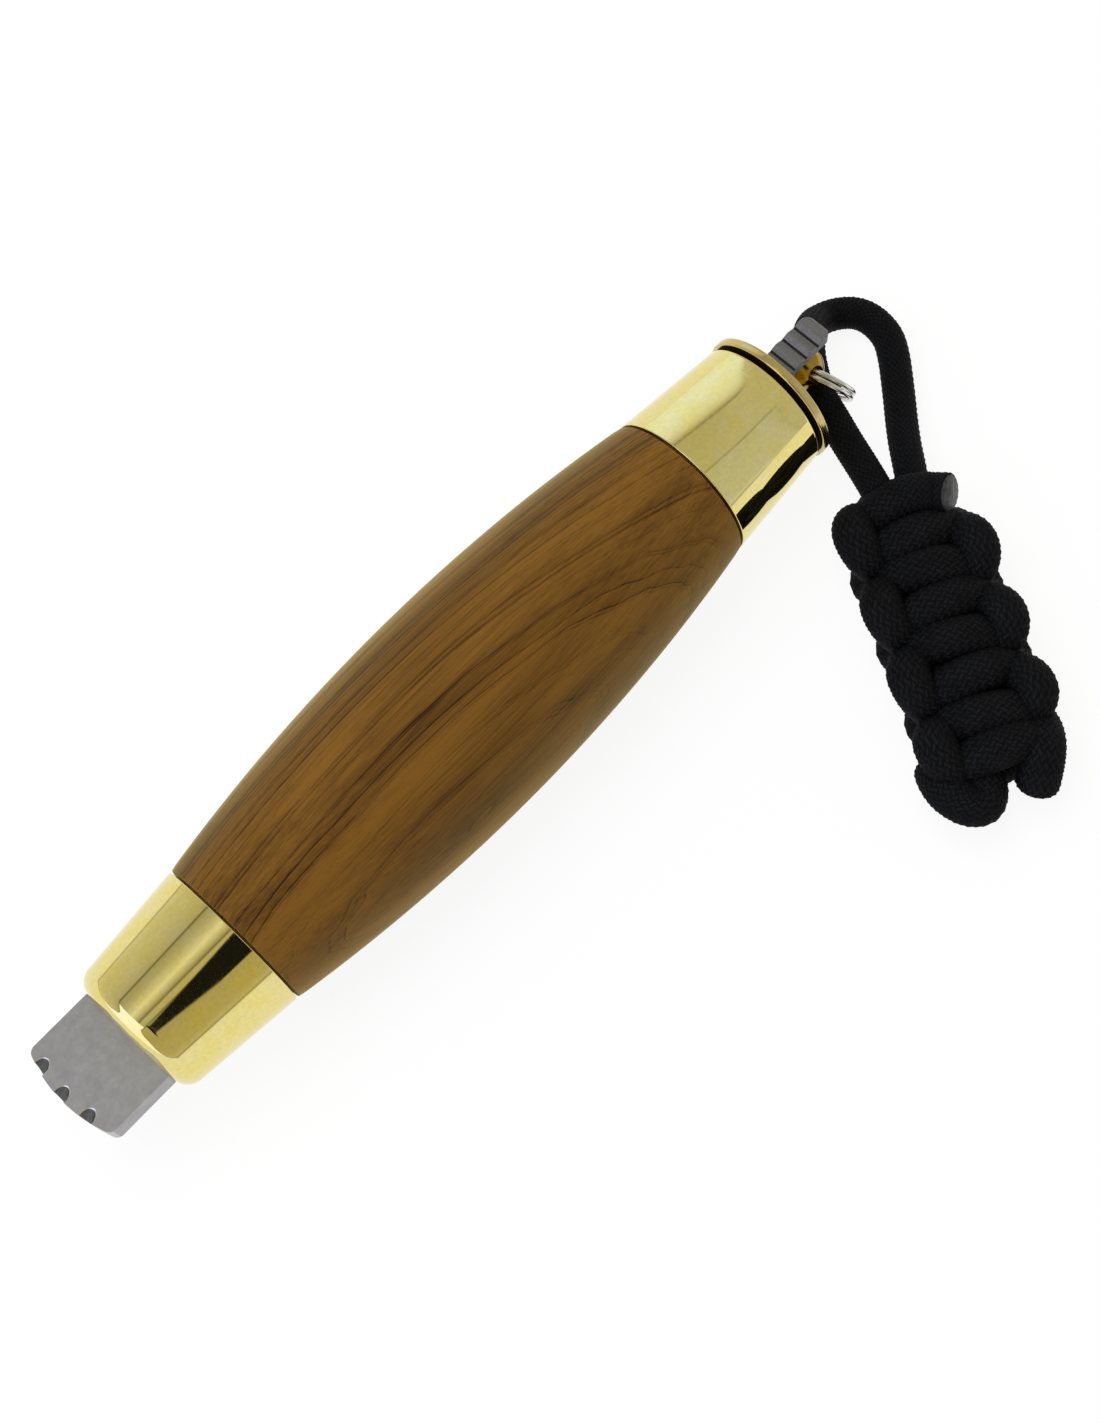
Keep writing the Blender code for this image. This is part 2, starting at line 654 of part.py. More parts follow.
def make_split_ring():
    """Two close turns of wire through the ball's eye, with both ends on the far side."""
    count = 24 * RING_TURNS
    points = []
    for i in range(count + 1):
        turn = 2 * math.pi * RING_TURNS * i / count + math.pi
        along = RING_PITCH * (RING_TURNS * i / count - RING_TURNS / 2)
        points.append(
            (along, RING_RADIUS * math.sin(turn), RING_LIFT - RING_RADIUS * (1 - math.cos(turn)))
        )
    tube("split_ring", points, WIRE_RADIUS, 2, RING, "ring_steel", rotation=(0, 0, RING_TWIST))


def make_loop():
    """The cord's free stretch, through the ring."""
    points = smooth_route(LOOP_ROUTE)
    tube("lanyard_loop", points, CORD_RADIUS, 3, LANYARD, "cord", location=(-BALL_X, 0, -AXIS_HEIGHT))


def weave_section(v):
    """One ring of points round the woven bar at a distance along it."""
    pitch = WEAVE_LENGTH / WEAVE_KNOTS
    end = min(1.0, 2 * min(v, WEAVE_LENGTH - v) / (2 * pitch) + 0.02)
    taper = math.sqrt(1 - (1 - end) ** 2) * 0.45 + 0.55 if end < 1 else 1.0
    wave = math.cos(math.pi * v / pitch + WEAVE_PHASE)
    ridge = math.cos(2 * math.pi * v / pitch)
    points = []
    for i in range(WEAVE_SIDES):
        turn = 2 * math.pi * i / WEAVE_SIDES
        across = math.copysign(abs(math.cos(turn)) ** 0.7, math.cos(turn))
        up = math.copysign(abs(math.sin(turn)) ** 0.8, math.sin(turn))
        lobe = 0.96 + 0.04 * wave * math.copysign(1, across)
        crest = 0.94 + 0.06 * ridge * (1 - abs(across))
        points.append(
            (v, WEAVE_WIDTH / 2 * across * lobe * taper, WEAVE_THICKNESS / 2 * up * crest * taper)
        )
    return points


def make_weave():
    """The woven bar: side lobes in turn on the left and right, and a ridge for each crossing."""
    count = 4 * WEAVE_KNOTS
    sections = [weave_section(WEAVE_LENGTH * i / count) for i in range(count + 1)]
    at = WEAVE_TOP - Vector((BALL_X, 0, AXIS_HEIGHT - WEAVE_LIFT - WEAVE_THICKNESS / 2))
    place("lanyard_weave", loft("lanyard_weave", sections), LANYARD, "cord", at, (0, 0, WEAVE_HEADING))


for old in list(bpy.data.objects):
    bpy.data.objects.remove(old)

# Colour, metallic and roughness of each material
FINISHES = {
    "wood": ((0.20, 0.105, 0.045), 0.0, 0.38),
    "brass": ((0.83, 0.66, 0.30), 1.0, 0.16),
    "blade_steel": ((0.45, 0.45, 0.45), 1.0, 0.36),
    "frame_steel": ((0.50, 0.50, 0.51), 1.0, 0.34),
    "spring_steel": ((0.30, 0.30, 0.31), 1.0, 0.48),
    "ring_steel": ((0.62, 0.61, 0.58), 1.0, 0.18),
    "cord": ((0.012, 0.012, 0.013), 0.0, 0.82),
}

PARTS = new_collection("barrel_knife")
CUTTERS = new_collection("cutters")
HALF_STEP = (0, 0, math.pi / BARREL_STEPS)
WEAVE_SIDES = 28
RIVET_Y = (RIVET_SPACING / 2, -RIVET_SPACING / 2)
LEAF_RIVET_X = (HINGE_X - LEAF_RIVET_PITCH / 2, HINGE_X + LEAF_RIVET_PITCH / 2)

# The barrel's axis, the frame that slides along it, and the joints that the frame carries
AXIS = new_empty("barrel_axis", location=(KNIFE_X, 0, AXIS_HEIGHT))
TURNING = new_empty("barrel_turning", AXIS, rotation=(0, math.pi / 2, 0))
FRAME = new_empty("frame_slide", AXIS)
FRAME_TURNING = new_empty("frame_turning", FRAME, rotation=(0, math.pi / 2, 0))
LATCH = new_empty("latch_press", FRAME, (HINGE_X, 0, HINGE_Z))
LANYARD = new_empty("lanyard_swing", FRAME, (BALL_X, 0, 0))
EYE = new_empty("eye", LANYARD, rotation=(-EYE_TILT, 0, 0))
RING = new_empty("ring_swing", EYE, rotation=(0, -RING_SWING, 0))

make_wood()
make_front_ferrule()
make_rear_ferrule()
make_blade()
make_liners()
make_pins()
make_rear_block()
make_end_disc()
make_eye_post()
make_latch_spring()
make_leaf_rivets()
make_split_ring()
make_loop()
make_weave()
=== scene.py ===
"""Barrel knife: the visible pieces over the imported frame, its materials, a pale stage and the camera.

All sizes are in metres in the frame's own axes: X runs along the barrel with the tang towards -X, the
table is z = 0, and the barrel's axis lies AXIS_HEIGHT over it. Places along the barrel count from the
barrel's middle.
"""

import math

import bmesh
import bpy
import numpy as np
from mathutils import Matrix, Vector


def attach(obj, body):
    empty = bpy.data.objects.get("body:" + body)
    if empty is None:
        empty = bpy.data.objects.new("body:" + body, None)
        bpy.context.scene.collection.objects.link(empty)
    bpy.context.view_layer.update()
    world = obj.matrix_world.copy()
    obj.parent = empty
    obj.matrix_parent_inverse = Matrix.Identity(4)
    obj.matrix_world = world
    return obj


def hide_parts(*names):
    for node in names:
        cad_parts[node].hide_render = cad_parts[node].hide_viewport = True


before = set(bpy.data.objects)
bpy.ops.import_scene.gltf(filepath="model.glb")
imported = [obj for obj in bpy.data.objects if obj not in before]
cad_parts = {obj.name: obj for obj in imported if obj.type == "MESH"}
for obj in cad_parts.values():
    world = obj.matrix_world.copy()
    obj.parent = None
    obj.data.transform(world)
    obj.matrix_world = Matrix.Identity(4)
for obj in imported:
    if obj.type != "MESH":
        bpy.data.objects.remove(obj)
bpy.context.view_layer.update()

bl_info = {
    "name": "Barrel knife",
    "version": (1, 0, 0),
    "blender": (4, 5, 0),
    "location": "View3D > Sidebar > Barrel knife",
    "description": "Builds the visible pieces of a barrel knife with its woven lanyard",
    "category": "Object",
}

# The frame's fixed places, as the solids have them
KNIFE_X = 0.000625
AXIS_HEIGHT = 0.0125834
RUN_GAP = 0.0002
FIT_GAP = 0.0001
WOOD_END = 0.0355
NOSE_X = -0.0511
MOUTH_X = 0.0501
JOINT_GAP = 0.0003
BORE_RADIUS = 0.0070315
FERRULE_END_RADIUS = 0.0085315
JOINT_RADIUS = 0.0097315
BELLY_RADIUS = 0.0126315
FERRULE_WALL = 0.0008
NOSE_WALL = 0.0015
NOSE_ROUND = 0.0023
MOUTH_LIP = 0.0013
MOUTH_ROUND = 0.0004
CATCH_POCKET = 0.0032
PIVOT_X = -0.0431
TANG_END_RADIUS = 0.0176
TANG_WIDTH = 0.0130
TANG_CORNER = 0.0010
BLADE_THICKNESS = 0.0035
EDGE_THICKNESS = 0.0003
BLADE_NARROWING = 0.0006
GRIND_WIDTH = 0.0052
BLADE_TIP_X = 0.03585
NOTCH_COUNT = 3
NOTCH_PITCH = 0.0038
NOTCH_RADIUS = 0.0008
NOTCH_INSET = 0.0003
NOTCH_OFFSET = 0.0005
NOTCH_RIM = 0.00006
LINER_WIDTH = 0.0110
LINER_INNER = 0.00185
LINER_OUTER = 0.00275
BLOCK_REAR_X = 0.04655
BLOCK_LENGTH = 0.0092
PIN_RADIUS = 0.0019
PIN_HEAD_RADIUS = 0.0029
PIN_HEAD = 0.0006
RIVET_RADIUS = 0.0011
RIVET_HEAD_RADIUS = 0.0017
RIVET_HEAD = 0.0004
RIVET_SPACING = 0.0068
DISC_FRONT_X = 0.05065
DISC_REAR_X = 0.05175
DISC_RADIUS = 0.0087315
BOSS_LENGTH = 0.0040
SHANK_RADIUS = 0.0011
SHANK_DEPTH = 0.0050
COLLAR_RADIUS = 0.0026
NECK_RADIUS = 0.0018
BALL_RADIUS = 0.00275
BALL_X = 0.0565
EYE_RADIUS = 0.0012
EYE_TILT = math.radians(24)
LEAF_WIDTH = 0.0037
LEAF_THICKNESS = 0.0009
LEAF_FRONT_X = 0.00005
LEAF_ROOT = 0.0120
LEAF_RAMP = 0.0220
LEAF_LOW = 0.00305
LEAF_LIFT = 0.0003
LEAF_RIVET_PITCH = 0.0060
LEAF_RIVET_RADIUS = 0.0009
LEAF_RIVET_HEAD_RADIUS = 1.75 * LEAF_RIVET_RADIUS
NIB_HEIGHT = 0.00025
NIB_LENGTH = 0.0024
TONGUE_TIP_X = 0.05945
TONGUE_RISE = 0.0008
TONGUE_CORNER = 0.0012
TOOTH_COUNT = 3
TOOTH_PITCH = 0.0020
TOOTH_DEPTH = 0.0004
# A ridge of the tongue: along, in pitches from its top, and down, in depths; the last ridge's distance from
# the tip; and the groove's middle before a ridge and its half width
RIDGE_SHAPE = ((-0.52, 0.8), (-0.45, 1.0), (-0.36, 0.75), (-0.05, 0.08), (0.0, 0.0), (0.08, 0.05))
LAST_RIDGE = 0.8
GROOVE_PLACE = 0.44
GROOVE_HALF = 0.1
PRESS_ANGLE = math.radians(1.8)
RING_RADIUS = 0.0044
RING_TURNS = 2
RING_PITCH = 0.00072
RING_SWING = math.radians(25)
RING_TWIST = math.radians(6)
RING_LIFT = 0.00033
WEAVE_TOP = Vector((0.0543, -0.0170, 0.00015))
WEAVE_HEADING = math.radians(240.7)
WEAVE_WIDTH = 0.0184
WEAVE_THICKNESS = 0.0092

# Sizes that follow
BOSS_FRONT_X = DISC_FRONT_X - BOSS_LENGTH
HINGE_X = LEAF_FRONT_X + LEAF_ROOT / 2
NIB_TOP = math.sqrt((BORE_RADIUS - RUN_GAP) ** 2 - (LEAF_WIDTH / 2) ** 2)
LEAF_TOP = NIB_TOP - NIB_HEIGHT
LEAF_HIGH = LEAF_TOP - LEAF_THICKNESS
BLOCK_X = BLOCK_REAR_X - BLOCK_LENGTH / 2
ORIGIN = Vector((KNIFE_X, 0, AXIS_HEIGHT))

# The cord's free loop, from the woven bar through the ring, round and back; z is up from the table
LOOP_ROUTE = [
    (0.0533, -0.0156, 0.0051),
    (0.0544, -0.0124, 0.0054),
    (0.0556, -0.0083, 0.0061),
    (0.0564, -0.0058, 0.0066),
    (0.0575, -0.0024, 0.0074),
    (0.0596, 0.0010, 0.0085),
    (0.0625, 0.0037, 0.0075),
    (0.0648, 0.0050, 0.0053),
    (0.0666, 0.0055, 0.0034),
    (0.0682, 0.0054, 0.0024),
    (0.0697, 0.0047, 0.0020),
    (0.0709, 0.0034, 0.0020),
    (0.0715, 0.0018, 0.0020),
    (0.0715, -0.0001, 0.0020),
    (0.0709, -0.0021, 0.0020),
    (0.0695, -0.0041, 0.0020),
    (0.0677, -0.0061, 0.0021),
    (0.0656, -0.0083, 0.0023),
    (0.0633, -0.0106, 0.0028),
    (0.0611, -0.0129, 0.0034),
    (0.0590, -0.0153, 0.0041),
    (0.0571, -0.0175, 0.0046),
]

# Where the two working strands turn at the sides of the woven bar, from its top end; the first place is on
# the left for the strand that crosses the front, and on the right for the one that crosses the back
FRONT_TURNS = [-0.0002, 0.0041, 0.0084, 0.0128, 0.0173, 0.0220, 0.0269, 0.0317, 0.0352, 0.0370]
BACK_TURNS = [0.0000, 0.0045, 0.0095, 0.0140, 0.0188, 0.0228, 0.0280, 0.0313, 0.0364, 0.0372]
# Each working strand: its first and last turn, how far its way along is kept to the turns, and its reach to
# the left and to the right as shares of the bar's
FRONT_STRAND = (0.98, 8.02, 0.55, 0.84, 0.97)
BACK_STRAND = (0.55, 7.7, 2.1, 1.0, 0.97)
# How long a strand stays out at its sides and up at its crossings; less is longer
SIDE_POWER = 0.85
CROSSING_POWER = 0.8
# The core: right of the bar's middle, and from where to where down the bar
CORE_PLACES = {"left": -0.0019, "right": 0.0021}
CORE_SPAN = (-0.0016, 0.0345)
# The cut end over the top of the bar and the bight and petal of its foot: right of the middle, down from
# the top, up
CUT_END = [
    (-0.0058, 0.0030, -0.0016), (-0.0035, 0.0021, 0.0010), (-0.0016, 0.0016, 0.0022),
    (0.0007, 0.0013, 0.0027), (0.0026, 0.0015, 0.0027), (0.0042, 0.0021, 0.0028), (0.0056, 0.0030, 0.0036),
]
FOOT_BIGHT = [
    (-0.0068, 0.0322, -0.0006), (-0.0071, 0.0342, 0.0004), (-0.0067, 0.0363, 0.0009),
    (-0.0053, 0.0381, 0.0010), (-0.0037, 0.0385, 0.0009), (-0.0027, 0.0371, 0.0006),
    (-0.0024, 0.0350, 0.0002), (-0.0024, 0.0325, -0.0003),
]
FOOT_PETAL = [
    (0.0058, 0.0305, -0.0012), (0.0057, 0.0322, 0.0004), (0.0052, 0.0340, 0.0016), (0.0044, 0.0358, 0.0018),
    (0.0035, 0.0374, 0.0010), (0.0029, 0.0384, -0.0004),
]
# How far a cord's end is rounded, in radii
LOOP_ROUND = 0.3
STRAND_ROUNDS = (0.6, 0.35)
CUT_ROUND = 0.2
# A direction that no cord starts in, from which its first side is taken
CORD_SIDE = (0.3, 0.2, 0.9)
# What is left of a cord's radius at its very end, as a share
END_SHARE = 0.03
# How far the flame has closed the cut end, in radii
MELTED_REACH = 0.86

# Shape of the blade: where its edge starts, its point to drop and its edge to rise, as shares of its length
PLUNGE_SHARE = 1 / 12
DROP_START = 0.55
RISE_START = 0.7
RISE_POWER = 2.2
TANG_STEPS = 12
BLADE_STEPS = 42

# Grain of the wood, in millimetres: the tree's heart, which lies beside the barrel, away from the lanyard
# and a little below its axis, as the shift that brings it to the middle; the lean of the rings against the
# axis; their sways (stretch along the grain, size, detail, reach); and the lines (share of a ring, width in
# metres, weakest, strongest)
WOOD_HEART = (-14.0, -6.5)
WOOD_LEAN = 0.045
WOOD_SWAYS = ((0.14, 16.667, 1.0, 3.0), (0.07, 3.333, 1.5, 0.8), (0.12, 0.9091, 1.0, 0.10))
WOOD_LINES = ((1.0, 0.00032, 0.35, 1.0), (0.43, 0.00024, 0.15, 0.95), (0.17, 0.00017, 0.05, 0.75))

# Real sizes of the other patterns, in millimetres; wipe marks, grit and pores are drawn coarser than they
# are, so that they show
MILLIMETRES = 1000.0
WOOD_FIBRE = 0.2
WOOD_PORE = 0.2
WOOD_BAND = 4.545
HANDLING_CLOUD = 2.857
WIPE_MARK = 0.4545
TURNING_LINE = 0.1667
TURNING_LENGTH = 4.0
STEEL_CLOUD = 1.4286
BLADE_GRIT = 0.4545
GROUND_GRIT = 0.3333
FILE_GRIT = 0.2
BLAST_GRIT = 0.1667
WIRE_GRIT = 0.5
# Size of the patches in the painted shade of the narrow gaps
GAP_SHADE_PATCH = 1.25
MELTED_LUMP = 0.7143

# Facets and edges
TURNED_STEPS = 192
SMALL_STEPS = 96
EYE_STEPS = 64
HOLE_STEPS = 48
HEAD_STEPS = 8
BELLY_POINTS = 64
LONG_POINTS = 48
ROUND_POINTS = 10
MOUTH_POINTS = 6
EDGE_POINTS = 4
ROUTE_STEPS = 12
PICK_STEPS = 4
CROSSING_STEPS = 60
CORE_STEPS = 24
SEAM_REACH = 0.000001
WELD_REACH = 0.0000005
SHARP_ANGLE = math.radians(32)
BLADE_SHARP_ANGLE = math.radians(15)
BREAK_ANGLE = math.radians(50)
BALL_BREAK = 0.00012
WIRE_BREAK = 0.00008
# Upright part of a rivet's head, as a share of its height
HEAD_RIM = 0.3
# How far faces of the tang's sides, of its notches' walls and of their rims may look sideways, along the
# notch and up, and how far off the notch's radius a wall's face may be
SIDE_FACING = 0.95
WALL_FACING = 0.08
WALL_REACH = 0.00005
RIM_FACING = (0.3, 0.97)

# The tent's cloth: angles in degrees round the barrel's axis, from straight up towards the lanyard, and
# runs along the axis, from -1 at the nose to 1 at the mouth. A tone is an angle, a level and a warmth
NOSE_TONES = (
    (-180, 1.0, 0.0), (-90, 0.82, 0.10), (-75, 0.71, 0.14), (-60, 0.67, 0.18), (-35, 0.52, 0.18),
    (-32, 0.44, 0.14), (-20, 0.54, 0.10), (-10, 0.76, 0.10), (-4, 0.95, 0.04), (3, 0.66, 0.22),
    (8, 0.42, 0.3), (9.5, 0.16, 0.2), (12, 0.62, 0.3), (21, 0.56, 0.35), (46, 0.50, 0.45),
    (62, 0.54, 0.52), (78, 0.55, 0.46), (90, 0.66, 0.30), (180, 1.0, 0.0),
)
MOUTH_TONES = (
    (-180, 1.0, 0.0), (-90, 1.0, -0.35), (-75, 1.02, -0.45), (-60, 0.99, -0.35), (-48, 0.93, -0.20),
    (-40, 0.78, 0.0), (-35, 0.52, 0.20), (-31, 0.55, 0.18), (0, 0.58, 0.15), (20, 0.60, 0.10),
    (24, 0.61, -0.05), (80, 0.65, -0.10), (90, 0.82, -0.05), (180, 1.0, 0.0),
)
# From where to where the nose's tones give way to the mouth's
TONE_CHANGE = (0.12, 0.30)
# A panel: its first and last angle, and its ends towards the nose and the mouth; 9 is beyond the tent
NOSE_PANELS = ((-88.5, -33.0, -0.85, 9.0), (21.0, 88.5, -0.85, 9.0), (-33.0, 21.0, -0.47, 9.0))
MOUTH_PANELS = ((-130.0, -33.0, -9.0, 0.5085), (21.0, 88.5, -9.0, 0.526))
# Size of a panel's corners at its sides, at the nose and at the mouth
PANEL_CORNERS = (18.0, 0.15, 0.007)
# The borders' drift: two runs and the angles there; and their slant at the mouth, as run for each degree
PANEL_DRIFT = (0.45, 0.49, 0.0, 11.0)
PANEL_SLANT = 0.0005
# A seam: how far from the border it starts and ends to fade, in corner radii, and its tones there
PANEL_SEAM = (0.025, 0.13, 0.68, 1.0)
PANEL_FADE = 0.1
# How far off a panel is where the tent's other end has its own, in corner radii
FAR_OFF = 10.0
# Past the panels: where the cloth starts to change, where it has changed, and its tone
NOSE_END = (-0.20, -0.32, (1.3, 1.35, 1.9, 1.0))
MOUTH_END = (0.490, 0.500, (0.61, 0.59, 0.54, 1.0))
# The gap for the lens: its two sides (two runs and the angles there), its two ends and its tone
LENS_SIDES = ((-0.188, -0.139, 24.0, 15.0), (-0.188, -0.150, 37.0, 48.5))
LENS_ENDS = ((-0.197, -0.190), (0.14, 0.05))
LENS_TONE = 0.012

# Lamp and floor
LAMP_SIZE = (0.5, 0.4)
LAMP_PLACE = Vector((-0.06, 0.14, 0.56))
LAMP_AIM = Vector((0.01, -0.01, 0.0))
FLOOR_SIZE = 2.0
FLOOR_DROP = 0.0001
FLOOR_GLOW = 0.90

# The camera looks down at the barrel from over the nose, a little from the lanyard's side
SIGHT_LEAN = math.radians(17.6)
SIGHT_AHEAD = math.radians(11.65)
AXIS_OFFSET_PX = 65.27
FOCAL_PX = 2340.0
SIGHT_FOOT = -0.0464
SENSOR_MM = 36.0
# How the barrel's run and what lies across it go right and down in the picture
RUN_RIGHT_DOWN = (0.70671, -0.70750)
CROSS_RIGHT_DOWN = (0.70750, 0.70671)


def linear(code):
    """Linear colour of an sRGB hex code."""
    parts = [int(code[i : i + 2], 16) / 255 for i in (1, 3, 5)]
    return (*[c / 12.92 if c <= 0.04045 else ((c + 0.055) / 1.055) ** 2.4 for c in parts], 1.0)


# What all colours have
RGBA = {"size": 4, "min": 0, "max": 1}


class KnifeColours(bpy.types.PropertyGroup):
    """Colours of the knife's materials."""

    brass: bpy.props.FloatVectorProperty(
        name="Brass", description="Polished brass of the ferrules", subtype="COLOR",
        default=linear("#e6d88e"), **RGBA,
    )
    dull_brass: bpy.props.FloatVectorProperty(
        name="Dull brass", description="Brushed brass of the end disc", subtype="COLOR",
        default=linear("#ccb679"), **RGBA,
    )
    # Painted shade: a darker, browner brass for the ball, standing in for the shade under the tongue and
    # the dark things it mirrors
    shaded_ball_brass: bpy.props.FloatVectorProperty(
        name="Shaded ball brass", description="Brass of the ball, darkened with painted shade", subtype="COLOR",
        default=linear("#a3863f"), **RGBA,
    )
    wood_light: bpy.props.FloatVectorProperty(
        name="Early wood", description="Pale stretch of each growth ring", subtype="COLOR",
        default=linear("#734f1c"), **RGBA,
    )
    wood_dark: bpy.props.FloatVectorProperty(
        name="Late wood", description="Dark line of each growth ring", subtype="COLOR",
        default=linear("#281508"), **RGBA,
    )
    blade_steel: bpy.props.FloatVectorProperty(
        name="Blade steel", description="Satin steel of tang and blade", subtype="COLOR",
        default=linear("#bababc"), **RGBA,
    )
    side_steel: bpy.props.FloatVectorProperty(
        name="Side steel", description="Ground sides of the tang", subtype="COLOR",
        default=linear("#a2a2a4"), **RGBA,
    )
    # Painted shade: a dark steel for the notches' walls, standing in for the shade in these hollows
    notch_shade_steel: bpy.props.FloatVectorProperty(
        name="Notch shade steel", description="Dark steel in the tang's notches", subtype="COLOR",
        default=linear("#5c5c57"), **RGBA,
    )
    spring_steel: bpy.props.FloatVectorProperty(
        name="Spring steel", description="Blasted steel of the latch", subtype="COLOR",
        default=linear("#8a8a8a"), **RGBA,
    )
    # Painted shade: a dark steel for the grooves between the latch's teeth, standing in for the shade in
    # them
    groove_shade_steel: bpy.props.FloatVectorProperty(
        name="Groove steel", description="Painted shade in the grooves between the latch's teeth", subtype="COLOR",
        default=linear("#3c3c3a"), **RGBA,
    )
    # Also the painted highlight on the broken rims round the tang's notches
    ring_and_rim_highlight_steel: bpy.props.FloatVectorProperty(
        name="Ring steel", description="Bright wire of the split ring", subtype="COLOR",
        default=linear("#d4d2cc"), **RGBA,
    )
    melted_cord: bpy.props.FloatVectorProperty(
        name="Melted cord", description="Closed end of the cord", subtype="COLOR",
        default=linear("#1f2022"), **RGBA,
    )
    cord: bpy.props.FloatVectorProperty(
        name="Cord", description="Black nylon of the lanyard", subtype="COLOR",
        default=linear("#0b0c0e"), **RGBA,
    )


class KnifeSizes(bpy.types.PropertyGroup):
    """Sizes that change the looks but not the frame."""

    edge_break: bpy.props.FloatProperty(
        name="Edge break", description="Width of the broken edges of steel plates", unit="LENGTH",
        default=0.00015, min=0.00002, max=0.0004,
    )
    ring_wire: bpy.props.FloatProperty(
        name="Ring wire", description="Diameter of the split ring's wire", unit="LENGTH",
        default=0.00062, min=0.0004, max=0.0008,
    )
    cord_diameter: bpy.props.FloatProperty(
        name="Cord diameter", description="Outer diameter of the braided cord", unit="LENGTH",
        default=0.0040, min=0.0034, max=0.0042,
    )
    pick_length: bpy.props.FloatProperty(
        name="Pick length", description="Length of one repeat of the braid", unit="LENGTH",
        default=0.00085, min=0.0006, max=0.0020,
    )
    pick_depth: bpy.props.FloatProperty(
        name="Pick depth", description="Height of the braid's picks", unit="LENGTH",
        default=0.00016, min=0.00002, max=0.0003,
    )
    pick_columns: bpy.props.IntProperty(
        name="Pick columns", description="Repeats of the braid round the cord", default=18, min=5, max=24,
    )
    strand_width: bpy.props.FloatProperty(
        name="Woven strand width", description="Width of the cord where the weave presses it flat",
        unit="LENGTH", default=0.0052, min=0.0040, max=0.0056,
    )
    strand_height: bpy.props.FloatProperty(
        name="Woven strand height", description="Height of the cord where the weave presses it flat",
        unit="LENGTH", default=0.0038, min=0.0030, max=0.0044,
    )
    ring_width: bpy.props.FloatProperty(
        name="Growth ring", description="Width of one growth ring of the wood", unit="LENGTH",
        default=0.0024, min=0.0005, max=0.006,
    )


class KnifeStage(bpy.types.PropertyGroup):
    """Camera and light."""

    focal_length: bpy.props.FloatProperty(
        name="Focal length", description="Of the camera, for a 36 mm long side", unit="CAMERA",
        default=59.24, min=20, max=200,
    )
    distance: bpy.props.FloatProperty(
        name="Distance", description="From the camera to the barrel's axis", unit="LENGTH", default=0.257,
        min=0.1, max=2.0,
    )
    lamp_power: bpy.props.FloatProperty(
        name="Lamp power", description="Of the soft lamp over the table", unit="POWER", default=2.2,
        min=0, max=50,
    )


# Meshes


def arc(centre, radius, start, end, count=ROUND_POINTS):
    """Points of a round stretch, with both of its ends."""
    turn = (end - start) / count
    return [
        (centre[0] + radius * math.cos(start + turn * i), centre[1] + radius * math.sin(start + turn * i))
        for i in range(count + 1)
    ]


def new_object(name, data):
    """An object of the scene with this mesh or other data."""
    piece = bpy.data.objects.new(name, data)
    bpy.context.scene.collection.objects.link(piece)
    return piece


def from_bmesh(name, bm, *moves):
    """The object of a finished bmesh, moved in the order given."""
    mesh = bpy.data.meshes.new(name)
    bm.to_mesh(mesh)
    bm.free()
    for move in moves:
        mesh.transform(move)
    return new_object(name, mesh)


def turned(name, profile, closed=False, steps=TURNED_STEPS, axis="X", at=ORIGIN):
    """A profile of place along the axis and radius, turned round that axis of the barrel's frame."""
    mesh = bpy.data.meshes.new(name)
    edges = [(i, i + 1) for i in range(len(profile) - 1)]
    if closed:
        edges.append((len(profile) - 1, 0))
    if axis == "X":
        points = [(x, radius, 0) for x, radius in profile]
    else:
        points = [(radius, 0, z) for z, radius in profile]
    mesh.from_pydata(points, edges, [])
    mesh.transform(Matrix.Translation(at))
    piece = new_object(name, mesh)
    hub = new_object(name + "_hub", None)
    hub.location = at
    screw = piece.modifiers.new("turn", "SCREW")
    screw.object = hub
    screw.axis = axis
    screw.steps = steps
    screw.render_steps = steps
    screw.use_merge_vertices = True
    screw.merge_threshold = SEAM_REACH
    settle(piece)
    bpy.data.objects.remove(hub)
    return piece


def settle(piece):
    """Makes what the modifiers give the piece's own mesh, with outward faces."""
    bpy.context.view_layer.update()
    ready = piece.evaluated_get(bpy.context.evaluated_depsgraph_get())
    mesh = bpy.data.meshes.new_from_object(ready)
    old = piece.data
    piece.modifiers.clear()
    piece.data = mesh
    mesh.name = piece.name
    bpy.data.meshes.remove(old)
    bm = bmesh.new()
    bm.from_mesh(mesh)
    bmesh.ops.remove_doubles(bm, verts=bm.verts, dist=WELD_REACH)
    bmesh.ops.recalc_face_normals(bm, faces=bm.faces)
    bm.to_mesh(mesh)
    bm.free()


def cut(piece, tool, operation="DIFFERENCE"):
    """Cuts the tool out of the piece, and takes the tool away."""
    boolean = piece.modifiers.new("cut", "BOOLEAN")
    boolean.operation = operation
    boolean.solver = "EXACT"
    boolean.object = tool
    settle(piece)
    bpy.data.objects.remove(tool)


def box(size, at):
    """A closed box round a place in the barrel's frame."""
    bm = bmesh.new()
    bmesh.ops.create_cube(bm, size=1.0, matrix=Matrix.Diagonal((*size, 1.0)))
    return from_bmesh("box", bm, Matrix.Translation(Vector(at) + ORIGIN))


def rod(radius, depth, at, turn=Matrix.Identity(4), steps=SMALL_STEPS, top_radius=None):
    """A closed cylinder or cone along Z, or as turned, round a place in the barrel's frame."""
    bm = bmesh.new()
    top = radius if top_radius is None else top_radius
    bmesh.ops.create_cone(bm, cap_ends=True, segments=steps, radius1=radius, radius2=top, depth=depth)
    return from_bmesh("rod", bm, turn, Matrix.Translation(Vector(at) + ORIGIN))


def skinned(name, bm, rings):
    """The closed object of a bmesh whose rings of points are joined in turn, with both ends shut."""
    count = len(rings[0])
    for near, far in zip(rings, rings[1:]):
        for i in range(count):
            j = (i + 1) % count
            bm.faces.new((near[i], near[j], far[j], far[i]))
    bm.faces.new(rings[0])
    bm.faces.new(rings[-1])
    bmesh.ops.recalc_face_normals(bm, faces=bm.faces)
    return from_bmesh(name, bm, Matrix.Translation(ORIGIN))


